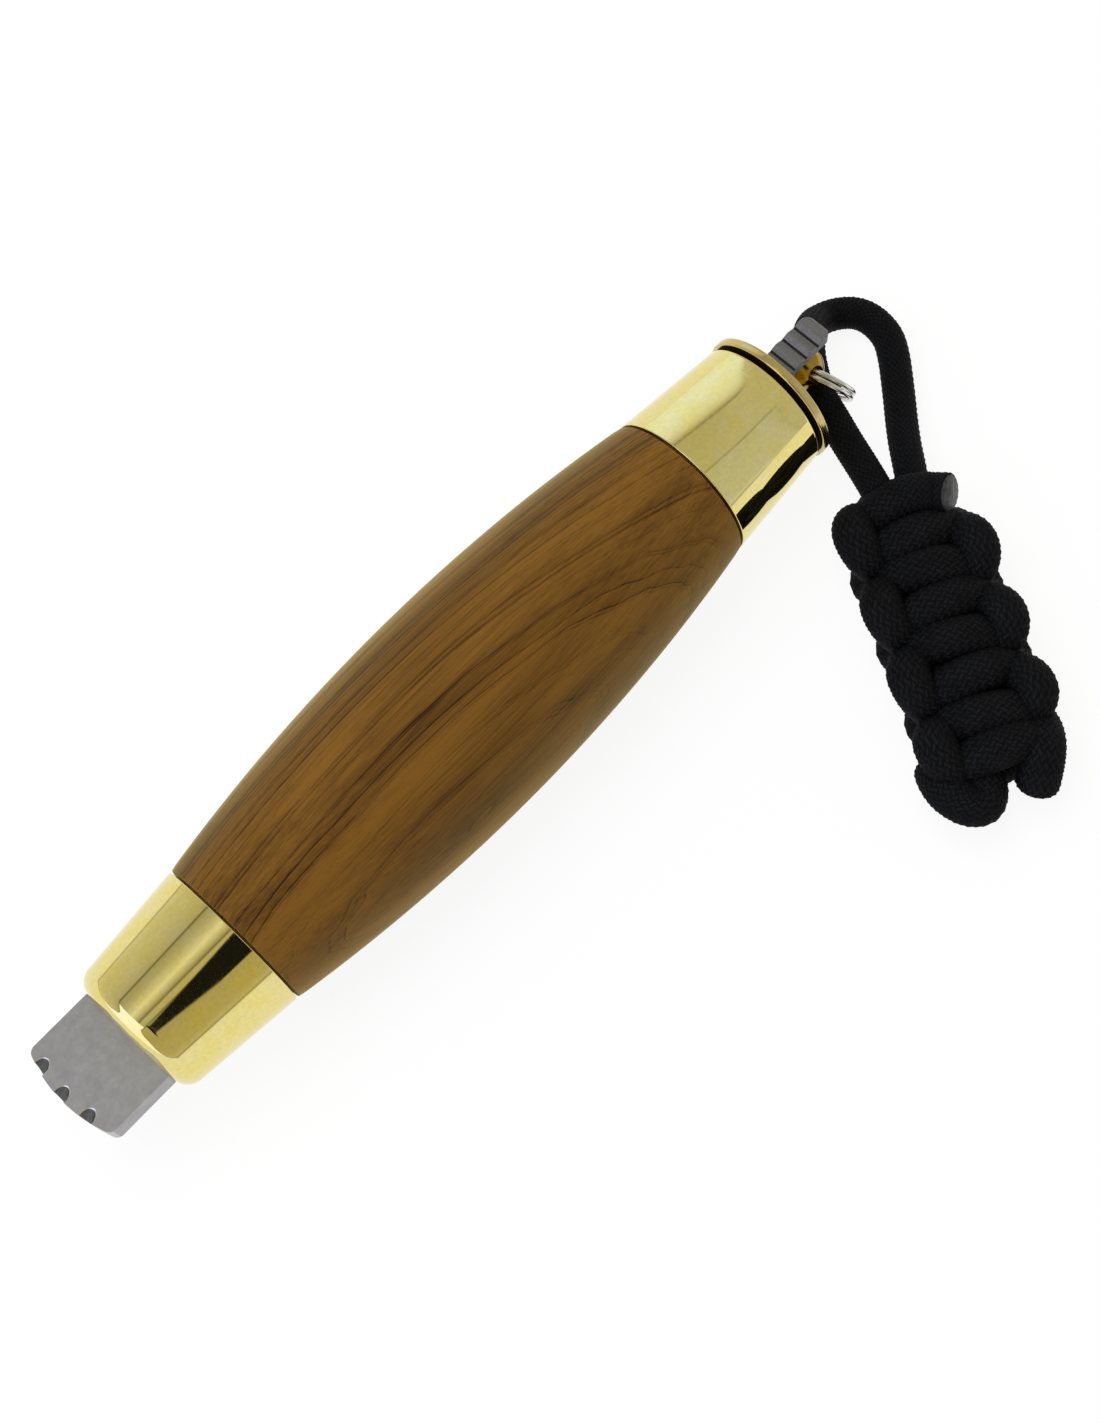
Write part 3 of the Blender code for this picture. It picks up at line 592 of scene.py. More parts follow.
def plate(name, outline, low, high, upright=False):
    """A closed plate from an outline: in XY between two heights, or in XZ between two depths."""
    bm = bmesh.new()
    rings = []
    for level in (low, high):
        if upright:
            points = [(x, level, z) for x, z in outline]
        else:
            points = [(x, y, level) for x, y in outline]
        rings.append([bm.verts.new(point) for point in points])
    return skinned(name, bm, rings)


def break_edges(piece, width):
    """Rounds the piece's sharp edges a little, as a stone does."""
    bevel = piece.modifiers.new("break", "BEVEL")
    bevel.width = width
    bevel.segments = 3
    bevel.limit_method = "ANGLE"
    bevel.angle_limit = BREAK_ANGLE
    settle(piece)


def dress(piece, body, solid, material, sharp=SHARP_ANGLE):
    """Smooth shading that keeps real edges, the material, and the piece's place on the frame."""
    mesh = piece.data
    mesh.shade_smooth()
    mesh.set_sharp_from_angle(angle=sharp)
    flat = piece.modifiers.new("flat faces stay flat", "WEIGHTED_NORMAL")
    flat.keep_sharp = True
    mesh.materials.clear()
    mesh.materials.append(material)
    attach(piece, body)
    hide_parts(solid)


def paint(piece, material, chosen):
    """Gives a second material to the faces that a test of their middle and their normal chooses."""
    mesh = piece.data
    mesh.materials.append(material)
    for face in mesh.polygons:
        if chosen(face.center - ORIGIN, face.normal):
            face.material_index = len(mesh.materials) - 1


def smooth_route(points, per_span):
    """Points of a smooth curve through the chosen ones."""
    knots = [Vector(point) for point in points]
    knots = [2 * knots[0] - knots[1], *knots, 2 * knots[-1] - knots[-2]]
    route = []
    for a, b, c, d in zip(knots, knots[1:], knots[2:], knots[3:]):
        for i in range(per_span):
            t = i / per_span
            bend = (2 * a - 5 * b + 4 * c - d) * t**2 + (3 * b - a - 3 * c + d) * t**3
            route.append(b + ((c - a) * t + bend) / 2)
    route.append(knots[-2])
    return route


def even_steps(points, step):
    """The same line with points at even steps along it."""
    line = np.array([tuple(point) for point in points])
    along = np.concatenate(([0], np.cumsum(np.linalg.norm(np.diff(line, axis=0), axis=1))))
    count = max(8, round(along[-1] / step))
    wanted = np.linspace(0, along[-1], count + 1)
    return np.column_stack([np.interp(wanted, along, line[:, k]) for k in range(3)]), wanted


def braided(name, points, sizes, start_round, end_round, press=(1, 1, 1)):
    """A cord whose surface stands out in the picks of its braid; pressed, it is wider than it is high."""
    radius = sizes.cord_diameter / 2
    columns = sizes.pick_columns
    around = PICK_STEPS * columns
    line, along = even_steps(points, sizes.pick_length / PICK_STEPS)
    ahead = np.gradient(line, axis=0)
    ahead /= np.linalg.norm(ahead, axis=1)[:, None]
    side = np.zeros_like(line)
    first = np.cross(ahead[0], CORD_SIDE)
    side[0] = first / np.linalg.norm(first)
    for i in range(1, len(line)):
        moved = side[i - 1] - ahead[i] * side[i - 1].dot(ahead[i])
        side[i] = moved / np.linalg.norm(moved)
    over = np.cross(ahead, side)
    turn = np.linspace(0, 2 * math.pi, around, endpoint=False)
    picks = np.cos(columns * turn)[None, :] * np.cos(2 * math.pi * along / sizes.pick_length)[:, None]
    width = radius - sizes.pick_depth * (0.5 - 0.5 * picks)
    for distance, share in ((along, start_round), (along[-1] - along, end_round)):
        inside = np.clip(distance / (radius * share), 0.0, 1.0)
        width *= np.sqrt(np.clip(1 - (1 - inside) ** 2, END_SHARE**2, 1.0))[:, None]
    ring = np.cos(turn)[None, :, None] * side[:, None, :] + np.sin(turn)[None, :, None] * over[:, None, :]
    verts = (line[:, None, :] + ring * width[:, :, None] * np.array(press)).reshape(-1, 3)
    rows = len(line)
    i, j = np.meshgrid(np.arange(rows - 1), np.arange(around), indexing="ij")
    k = (j + 1) % around
    quads = np.stack((i * around + j, i * around + k, (i + 1) * around + k, (i + 1) * around + j), axis=-1)
    faces = quads.reshape(-1, 4).tolist()
    faces.append(list(range(around))[::-1])
    faces.append(list(range((rows - 1) * around, rows * around)))
    mesh = bpy.data.meshes.new(name)
    mesh.from_pydata(verts.tolist(), [], faces)
    layer = mesh.uv_layers.new(name="braid")
    u = along / sizes.pick_length
    v = np.arange(around + 1) * columns / around
    corners = np.stack(
        (
            np.stack((u[i], v[j]), axis=-1), np.stack((u[i], v[j + 1]), axis=-1),
            np.stack((u[i + 1], v[j + 1]), axis=-1), np.stack((u[i + 1], v[j]), axis=-1),
        ),
        axis=2,
    )
    flat = np.zeros((len(mesh.loops), 2))
    flat[: corners.size // 2] = corners.reshape(-1, 2)
    layer.data.foreach_set("uv", flat.ravel())
    mesh.shade_smooth()
    return new_object(name, mesh)


# Materials


def feed(tree, made, inputs):
    """Gives a node its inputs, in order or by name: values, sockets or other nodes' first outputs."""
    pairs = inputs.items() if isinstance(inputs, dict) else enumerate(inputs)
    for name, value in pairs:
        if isinstance(value, bpy.types.Node):
            value = value.outputs[0]
        if isinstance(value, bpy.types.NodeSocket):
            tree.links.new(value, made.inputs[name])
        else:
            made.inputs[name].default_value = value


def node(tree, kind, inputs=(), ramp=(), **settings):
    """Adds a shader node with its settings, its inputs and the stops of its ramp.

    A MapRange takes in order the value, the range it comes from and the range it goes to.
    """
    made = tree.nodes.new("ShaderNode" + kind)
    for name, value in settings.items():
        setattr(made, name, value)
    feed(tree, made, inputs)
    if ramp:
        stops = made.color_ramp.elements
        while len(stops) < len(ramp):
            stops.new(1.0)
        for stop, (place, colour) in zip(stops, ramp):
            stop.position = place
            stop.color = colour
    return made


def grey(level):
    """A neutral tone of the tent's cloth."""
    return (level, level, level, 1.0)


def new_material(name):
    """An empty material with its tree, its shader, and the place in millimetres for its patterns."""
    material = bpy.data.materials.new(name)
    material.use_nodes = True
    tree = material.node_tree
    place = node(tree, "TexCoord").outputs["Object"]
    scaled = node(tree, "VectorMath", {0: place, "Scale": MILLIMETRES}, operation="SCALE")
    return material, tree, tree.nodes["Principled BSDF"], scaled


def brass_material(colour, name="polished_brass", gloss=0.035, lines=0.0):
    """Yellow brass, turned and polished: clear reflections, a little uneven from wiping and handling."""
    material, tree, shader, place = new_material(name)
    cloud = node(tree, "TexNoise", {"Vector": place, "Scale": 1 / HANDLING_CLOUD, "Detail": 4.0})
    speck = node(
        tree, "TexNoise", {"Vector": place, "Scale": 1 / WIPE_MARK, "Detail": 5.0, "Roughness": 0.65}
    )
    drawn = (1 / TURNING_LINE, 1 / TURNING_LENGTH, 1 / TURNING_LENGTH)
    stretch = node(tree, "Mapping", {"Vector": place, "Scale": drawn})
    turning = node(tree, "TexNoise", {"Vector": stretch, "Scale": 1.0, "Detail": 3.0})
    value = node(tree, "MapRange", (speck, 0.3, 0.7, 0.91, 1.05))
    depth = node(tree, "MapRange", (cloud, 0.3, 0.7, 1.12, 0.94))
    tint = node(tree, "HueSaturation", {"Color": colour, "Value": value, "Saturation": depth})
    rough = node(tree, "MapRange", (speck, 0.3, 0.7, gloss - 0.015, gloss + 0.02))
    marks = node(tree, "Math", (speck, turning), operation="ADD")
    bump = node(tree, "Bump", {"Height": marks, "Strength": 0.003 + lines, "Distance": 0.00004})
    feed(tree, shader, {"Base Color": tint, "Roughness": rough, "Normal": bump, "Metallic": 1.0})
    return material


def gap_shade_material():
    """Painted shade for a narrow gap: brown-black and dull, a little lighter in soft patches."""
    material, tree, shader, place = new_material("painted_gap_shade")
    patch = node(tree, "TexNoise", {"Vector": place, "Scale": 1 / GAP_SHADE_PATCH, "Detail": 4.0})
    tint = node(tree, "Mix", {0: patch, 6: linear("#0b0704"), 7: linear("#2a1a0d")}, data_type="RGBA")
    feed(tree, shader, {"Base Color": tint.outputs[2], "Roughness": 0.75, "Specular IOR Level": 0.2})
    return material


def wood_material(light, dark, ring_width):
    """Olive wood, turned and oiled: long dark lines that the sway of the grain brings together and apart,
    fine fibres between them, golden and brown bands and a weak satin sheen."""
    material, tree, shader, place = new_material("oiled_olive_wood")
    run = node(tree, "SeparateXYZ", (place,)).outputs["X"]

    def grained(stretch, size, detail):
        """A noise of a size in millimetres, drawn out along the grain."""
        drawn = node(tree, "Mapping", {"Vector": place, "Scale": (stretch, 1.0, 1.0)})
        return node(tree, "TexNoise", {"Vector": drawn, "Scale": 1 / size, "Detail": detail})

    # The growth rings lie round a heart beside the barrel, and lean against its axis
    heart = node(
        tree, "Mapping", {"Vector": place, "Location": (0.0, *WOOD_HEART), "Scale": (0.0, 1.0, 1.0)}
    )
    depth = node(tree, "VectorMath", (heart,), operation="LENGTH").outputs["Value"]
    depth = node(tree, "Math", (run, -WOOD_LEAN, depth), operation="MULTIPLY_ADD")
    for stretch, size, detail, reach in WOOD_SWAYS:
        sway = grained(stretch, size, detail)
        depth = node(tree, "Math", (sway, reach, depth), operation="MULTIPLY_ADD")
    # A line keeps its width on the surface, also where the rings run nearly along it
    normal = node(tree, "NewGeometry").outputs["Normal"]
    outward = node(tree, "VectorMath", (heart,), operation="NORMALIZE")
    facing = node(tree, "VectorMath", (outward, normal), operation="DOT_PRODUCT").outputs["Value"]
    square = node(tree, "Math", (facing, facing), operation="MULTIPLY")
    steep = node(tree, "Math", (1.02, square), operation="SUBTRACT")
    steep = node(tree, "Math", (steep,), operation="SQRT")
    total = 0.0
    for share, width, weakest, strongest in WOOD_LINES:
        spacing = ring_width * share
        rings = node(tree, "Math", (depth, spacing * MILLIMETRES), operation="DIVIDE")
        which = node(tree, "Math", (rings,), operation="FLOOR")
        past = node(tree, "Math", (rings,), operation="FRACT")
        left = node(tree, "Math", (1.0, past), operation="SUBTRACT")
        thick = node(tree, "Math", (steep, width / spacing), operation="MULTIPLY")
        inside = node(tree, "MapRange", (left, thick, 0.0), interpolation_type="SMOOTHSTEP")
        late = node(tree, "MapRange", (left, 0.6, 0.0, 0.0, 0.32))
        # One line is stronger than another, and along its length it grows stronger and weaker
        chance = node(tree, "TexWhiteNoise", {"W": which}, noise_dimensions="1D").outputs["Value"]
        chance = node(tree, "Math", (chance, 1.3), operation="POWER")
        chance = node(tree, "MapRange", (chance, 0.0, 1.0, weakest, strongest))
        slow = node(tree, "Math", (run, 0.05), operation="MULTIPLY")
        other = node(tree, "Math", (which, 3.7), operation="MULTIPLY")
        stretch = node(tree, "CombineXYZ", (slow, other))
        fade = node(tree, "TexNoise", {"Vector": stretch, "Scale": 1.0, "Detail": 1.0})
        fade = node(tree, "MapRange", (fade, 0.3, 0.62, 0.45, 1.0))
        strength = node(tree, "Math", (chance, fade), operation="MULTIPLY")
        line = node(tree, "Math", (inside, late), operation="MAXIMUM")
        line = node(tree, "Math", (line, strength), operation="MULTIPLY")
        total = node(tree, "Math", (total, line), operation="ADD")
    fibre = grained(0.02, WOOD_FIBRE, 5.0)
    fine = node(tree, "MapRange", (fibre, 0.3, 0.7, -0.18, 0.22))
    total = node(tree, "Math", (total, fine), operation="ADD")
    band = node(tree, "MapRange", (grained(0.09, WOOD_BAND, 2.0), 0.35, 0.65, -0.14, 0.38))
    total = node(tree, "Math", (total, band), operation="ADD")
    pores = node(tree, "MapRange", (grained(0.16, WOOD_PORE, 2.0), 0.60, 0.70))
    total = node(tree, "Math", (pores, 0.14, total), operation="MULTIPLY_ADD", use_clamp=True)
    body = node(tree, "Mix", {0: total, 6: light, 7: dark}, data_type="RGBA")
    rough = node(tree, "MapRange", (fibre, 0.0, 1.0, 0.44, 0.62))
    relief = node(tree, "Math", (fibre, pores), operation="SUBTRACT")
    bump = node(tree, "Bump", {"Height": relief, "Strength": 0.18, "Distance": 0.00006})
    feed(tree, shader, {
        "Base Color": body.outputs[2], "Roughness": rough, "Normal": bump, "IOR": 1.5,
        "Specular IOR Level": 0.06, "Sheen Weight": 0.5, "Sheen Roughness": 0.45,
        "Sheen Tint": linear("#e7d281"),
    })
    return material


def steel_material(name, colour, rough, grit, depth):
    """Steel with a dull finish: soft reflections, cloudy flecks, and pits as coarse as the grit that made
    them."""
    material, tree, shader, place = new_material(name)
    cloud = node(
        tree, "TexNoise", {"Vector": place, "Scale": 1 / STEEL_CLOUD, "Detail": 5.0, "Roughness": 0.6}
    )
    pits = node(tree, "TexNoise", {"Vector": place, "Scale": 1 / grit, "Detail": 3.0})
    value = node(tree, "MapRange", (cloud, 0.3, 0.7, 0.86, 1.08))
    speck = node(tree, "MapRange", (pits, 0.3, 0.7, 1 - depth / 2, 1 + depth / 4))
    both = node(tree, "Math", (value, speck), operation="MULTIPLY")
    tint = node(tree, "HueSaturation", {"Color": colour, "Value": both})
    dull = node(tree, "MapRange", (cloud, 0.0, 1.0, rough - 0.05, rough + 0.08))
    bump = node(tree, "Bump", {"Height": pits, "Strength": depth, "Distance": 0.00008})
    feed(tree, shader, {"Base Color": tint, "Roughness": dull, "Normal": bump, "Metallic": 1.0})
    return material


def cord_material(colour):
    """Black nylon cord: a dull braid of yarns that pass over and under, with a painted highlight on the
    crest of each pick.

    The braid's own places run in picks, along the cord and round it.
    """
    material, tree, shader, _ = new_material("braided_nylon")
    braid = node(tree, "UVMap", uv_map="braid")
    parts = node(tree, "SeparateXYZ", (braid,))
    crests = []
    wholes = []
    for operation in ("ADD", "SUBTRACT"):
        run = node(tree, "Math", (parts.outputs["X"], parts.outputs["Y"]), operation=operation)
        wholes.append(node(tree, "Math", (run,), operation="FLOOR"))
        share = node(tree, "Math", (run,), operation="FRACT")
        share = node(tree, "Math", (share, math.pi), operation="MULTIPLY")
        crest = node(tree, "Math", (share,), operation="SINE")
        crests.append(node(tree, "Math", (crest, 2.5), operation="POWER"))
    tile = node(tree, "Math", wholes, operation="ADD")
    over = node(tree, "Math", (tile, 2.0), operation="FLOORED_MODULO")
    pick = node(tree, "Mix", {0: over, 2: crests[0], 3: crests[1]}, data_type="FLOAT")
    uneven = node(tree, "TexNoise", {"Vector": braid, "Scale": 0.5, "Detail": 3.0})
    # Painted highlight and shade: the colour is up to 3.4 times lighter on each pick's crest and darker
    # between the picks
    light = node(tree, "Math", (pick, uneven), operation="MULTIPLY")
    value = node(tree, "MapRange", (light, 0.0, 1.0, 0.3, 3.4))
    tint = node(tree, "HueSaturation", {"Color": colour, "Value": value})
    bump = node(tree, "Bump", {"Height": pick, "Strength": 0.8, "Distance": 0.00016})
    feed(tree, shader, {
        "Base Color": tint, "Normal": bump, "Roughness": 0.7, "IOR": 1.5, "Specular IOR Level": 0.12,
    })
    return material


def melted_material(colour):
    """A cord's end that a flame has closed: hard, grey and lumpy, with a dull shine."""
    material, tree, shader, place = new_material("melted_nylon")
    lump = node(tree, "TexNoise", {"Vector": place, "Scale": 1 / MELTED_LUMP, "Detail": 3.0})
    value = node(tree, "MapRange", (lump, 0.42, 0.66, 0.25, 1.9))
    tint = node(tree, "HueSaturation", {"Color": colour, "Value": value})
    bump = node(tree, "Bump", {"Height": lump, "Strength": 0.6, "Distance": 0.0002})
    feed(tree, shader, {"Base Color": tint, "Normal": bump, "Roughness": 0.4, "IOR": 1.53})
    return material


def shared(name, maker, *values):
    """A material that several pieces have, made once."""
    return bpy.data.materials.get(name) or maker(*values)


# Pieces


def ferrule_radius(x):
    """Outer radius of either ferrule at a place along the barrel."""
    end = NOSE_X if x < 0 else MOUTH_X
    share = (abs(x) - WOOD_END) / (abs(end) - WOOD_END)
    return JOINT_RADIUS + (FERRULE_END_RADIUS - JOINT_RADIUS) * share


def spigot_radius(x):
    """Radius of the wood under a ferrule."""
    return ferrule_radius(x) - FERRULE_WALL - FIT_GAP


class KNIFE_OT_wood(bpy.types.Operator):
    """Turns the wood of the barrel: one long arc outside, a bore and a spigot under each ferrule."""

    bl_idname = "barrel_knife.wood"
    bl_label = "Wood"

    def execute(self, context):
        front = NOSE_X + NOSE_WALL + FIT_GAP
        rear = MOUTH_X - MOUTH_LIP - CATCH_POCKET
        rise = BELLY_RADIUS - JOINT_RADIUS
        arc_radius = (WOOD_END**2 + rise**2) / (2 * rise)
        half = math.asin(WOOD_END / arc_radius)
        middle = (0, BELLY_RADIUS - arc_radius)
        belly = arc(middle, arc_radius, math.pi / 2 + half, math.pi / 2 - half, BELLY_POINTS)
        # The arc's two ends are broken a little
        soft = 0.00018
        belly[0] = (belly[0][0], belly[0][1] - soft)
        belly.insert(1, (belly[0][0] + soft * 0.3, belly[0][1] + soft * 0.75))
        belly[-1] = (belly[-1][0], belly[-1][1] - soft)
        belly.insert(-1, (belly[-1][0] - soft * 0.3, belly[-1][1] + soft * 0.75))
        profile = [
            (rear, BORE_RADIUS), (front, BORE_RADIUS), (front, spigot_radius(front)),
            (-WOOD_END, spigot_radius(-WOOD_END)), *belly,
            (WOOD_END, spigot_radius(WOOD_END)), (rear, spigot_radius(rear)),
        ]
        wood = turned("turned_wood", profile, closed=True)
        colours = context.scene.knife_colours
        ring_width = context.scene.knife_sizes.ring_width
        material = wood_material(colours.wood_light, colours.wood_dark, ring_width)
        dress(wood, "barrel", "barrel_wood", material)
        return {"FINISHED"}


class KNIFE_OT_ferrules(bpy.types.Operator):
    """Turns the two brass ferrules, with the tang's slot in the nose and the lip in the mouth."""

    bl_idname = "barrel_knife.ferrules"
    bl_label = "Ferrules"

    def execute(self, context):
        brass = shared("polished_brass", brass_material, context.scene.knife_colours.brass)
        soft = 0.00012
        joint = -WOOD_END - JOINT_GAP
        floor = NOSE_X + NOSE_WALL
        nose_middle = (NOSE_X + NOSE_ROUND, FERRULE_END_RADIUS - NOSE_ROUND)
        nose = arc(nose_middle, NOSE_ROUND, math.pi, math.pi / 2, 2 * ROUND_POINTS)
        profile = [
            (NOSE_X, 0), *nose,
            *arc((joint - soft, ferrule_radius(joint) - soft), soft, math.pi / 2, 0, EDGE_POINTS),
            (joint, ferrule_radius(joint) - FERRULE_WALL),
            (floor, ferrule_radius(floor) - FERRULE_WALL), (floor, 0),
        ]
        front = turned("front_cap", profile)
        slot = (4 * NOSE_WALL, TANG_WIDTH + 2 * RUN_GAP, BLADE_THICKNESS + 2 * RUN_GAP)
        cut(front, box(slot, (NOSE_X, 0, 0)))
        dress(front, "barrel", "front_ferrule", brass)
        joint = WOOD_END + JOINT_GAP
        lip = MOUTH_X - MOUTH_LIP
        mouth = (MOUTH_X - MOUTH_ROUND, FERRULE_END_RADIUS - MOUTH_ROUND)
        profile = [
            *arc((joint + soft, ferrule_radius(joint) - soft), soft, math.pi, math.pi / 2, EDGE_POINTS),
            *arc(mouth, MOUTH_ROUND, math.pi / 2, 0, MOUTH_POINTS),
            (MOUTH_X, BORE_RADIUS + soft), (MOUTH_X - soft, BORE_RADIUS), (lip, BORE_RADIUS),
            (lip, ferrule_radius(lip) - FERRULE_WALL), (joint, ferrule_radius(joint) - FERRULE_WALL),
        ]
        rear = turned("rear_sleeve", profile, closed=True)
        dress(rear, "barrel", "rear_ferrule", brass)
        # Painted shade: the mouth's end face and the bore get the dark gap colour, standing in for the
        # shade in the gap before the disc
        gap_shade = shared("painted_gap_shade", gap_shade_material)
        bore = BORE_RADIUS + soft
        paint(rear, gap_shade, lambda at, normal: at.x > MOUTH_X - soft / 2 or math.hypot(at.y, at.z) < bore)
        return {"FINISHED"}


def blade_sections():
    """Sections of tang and blade along X: flat sides, one ground edge and a dropped point."""
    half = TANG_WIDTH / 2
    full = BLADE_THICKNESS / 2
    thin = EDGE_THICKNESS / 2
    hub = TANG_END_RADIUS - TANG_CORNER
    turn = math.asin((half - TANG_CORNER) / hub)
    corner = (PIVOT_X - hub * math.cos(turn), half - TANG_CORNER)
    end = []
    for i in range(1, TANG_STEPS):
        part = turn * i / TANG_STEPS
        end.append((PIVOT_X - TANG_END_RADIUS * math.cos(part), TANG_END_RADIUS * math.sin(part)))
    end += arc(corner, TANG_CORNER, math.pi - turn, math.pi / 2)
    tang_rear = PIVOT_X + LINER_WIDTH / 2
    plunge = tang_rear + (BLADE_TIP_X - tang_rear) * PLUNGE_SHARE
    back = half - BLADE_NARROWING
    sections = [(x, y, -y, -y, full) for x, y in end]
    sections.append((tang_rear, half, -half, -half, full))
    sections.append((plunge, back, -back, -back, full))
    for i in range(1, BLADE_STEPS):
        share = i / BLADE_STEPS
        drop = max(0, (share - DROP_START) / (1 - DROP_START)) ** 2
        belly = max(0, (share - RISE_START) / (1 - RISE_START)) ** RISE_POWER
        # The point lies a little to the edge's side of the middle
        point = -back / 4
        top = back + (point - back) * drop
        edge = -back + (point + back) * belly
        ground = min(edge + GRIND_WIDTH, (top + edge) / 2)
        x = plunge + (BLADE_TIP_X - plunge) * share
        sections.append((x, top, ground, edge, thin))
    for x, top, ground, edge, rim in sections:
        # Where nothing is ground, a narrow strip stands for the grind, so that all sections have its points
        low = max(ground, edge + (top - edge) / 20)
        yield [
            (x, top, full), (x, low, full), (x, edge, rim),
            (x, edge, -rim), (x, low, -full), (x, top, -full),
        ]


class KNIFE_OT_blade(bpy.types.Operator):
    """Makes the folded blade with its satin tang, the pivot hole and the notches in the tang's end."""

    bl_idname = "barrel_knife.blade"
    bl_label = "Blade"

    def execute(self, context):
        bm = bmesh.new()
        rings = [[bm.verts.new(point) for point in section] for section in blade_sections()]
        blade = skinned("folded_blade", bm, rings)
        cut(blade, rod(PIN_RADIUS + FIT_GAP, 2 * BLADE_THICKNESS, (PIVOT_X, 0, 0)))
        notches = []
        slanted = Matrix.Rotation(math.pi / 4, 4, "Y")
        # A notch's broken rim follows its slant, so the cone that cuts it is drawn out and pushed along X
        lying = Matrix(((math.sqrt(2), 0, 1, 0), (0, 1, 0, 0), (0, 0, 1, 0), (0, 0, 0, 1)))
        for i in range(NOTCH_COUNT):
            y = NOTCH_OFFSET + NOTCH_PITCH * (i - (NOTCH_COUNT - 1) / 2)
            end = PIVOT_X - math.sqrt(TANG_END_RADIUS**2 - y**2)
            at = (end + NOTCH_INSET, y, BLADE_THICKNESS / 2)
            cut(blade, rod(NOTCH_RADIUS, 8 * NOTCH_RADIUS, at, slanted, HOLE_STEPS))
            wide = NOTCH_RADIUS + 2 * NOTCH_RIM
            cut(blade, rod(NOTCH_RADIUS, 2 * NOTCH_RIM, at, lying, HOLE_STEPS, wide))
            notches.append(Vector(at))
        slant = Vector((1, 0, 1)).normalized()

        def on_side(at, normal):
            """Whether a face is part of the tang's ground sides."""
            return abs(normal.y) > SIDE_FACING

        def in_notch(at, normal):
            """Whether a face is part of a notch's round wall."""
            if abs(normal.dot(slant)) > WALL_FACING:
                return False
            away = [abs((at - middle).cross(slant).length - NOTCH_RADIUS) for middle in notches]
            return min(away) < WALL_REACH

        def on_rim(at, normal):
            """Whether a face is part of the broken edge round a notch."""
            if at.z < BLADE_THICKNESS / 2 - NOTCH_RIM or not RIM_FACING[0] < normal.z < RIM_FACING[1]:
                return False
            return any((at - middle).length < 2 * NOTCH_RADIUS for middle in notches)

        colours = context.scene.knife_colours
        satin = steel_material("satin_blade_steel", colours.blade_steel, 0.36, BLADE_GRIT, 0.10)
        ground = steel_material("ground_side_steel", colours.side_steel, 0.40, GROUND_GRIT, 0.15)
        # Painted shade and highlight: the notches' walls get a dark steel for the shade in them, and their
        # broken rims a light, glossier steel for the glint along them
        notch_shade = steel_material("painted_shade_notch_steel", colours.notch_shade_steel, 0.42, FILE_GRIT, 0.5)
        rim_highlight = steel_material("painted_highlight_rim_steel", colours.ring_and_rim_highlight_steel, 0.25, GROUND_GRIT, 0.1)
        dress(blade, "frame", "blade", satin, BLADE_SHARP_ANGLE)
        paint(blade, ground, on_side)
        paint(blade, notch_shade, in_notch)
        # Painted highlight: the broken rims round the notches get the light ring steel, for the glint along
        # them
        paint(blade, rim_highlight, on_rim)
        return {"FINISHED"}


def dome(seat, radius, height):
    """Profile of a domed head, from its rim on the seat to its top."""
    points = [(seat, radius)]
    for i in range(HEAD_STEPS):
        turn = i * math.pi / (2 * HEAD_STEPS)
        rise = HEAD_RIM + (1 - HEAD_RIM) * math.sin(turn)
        points.append((seat + height * rise, radius * math.cos(turn)))
    return [*points, (seat + height, 0)]


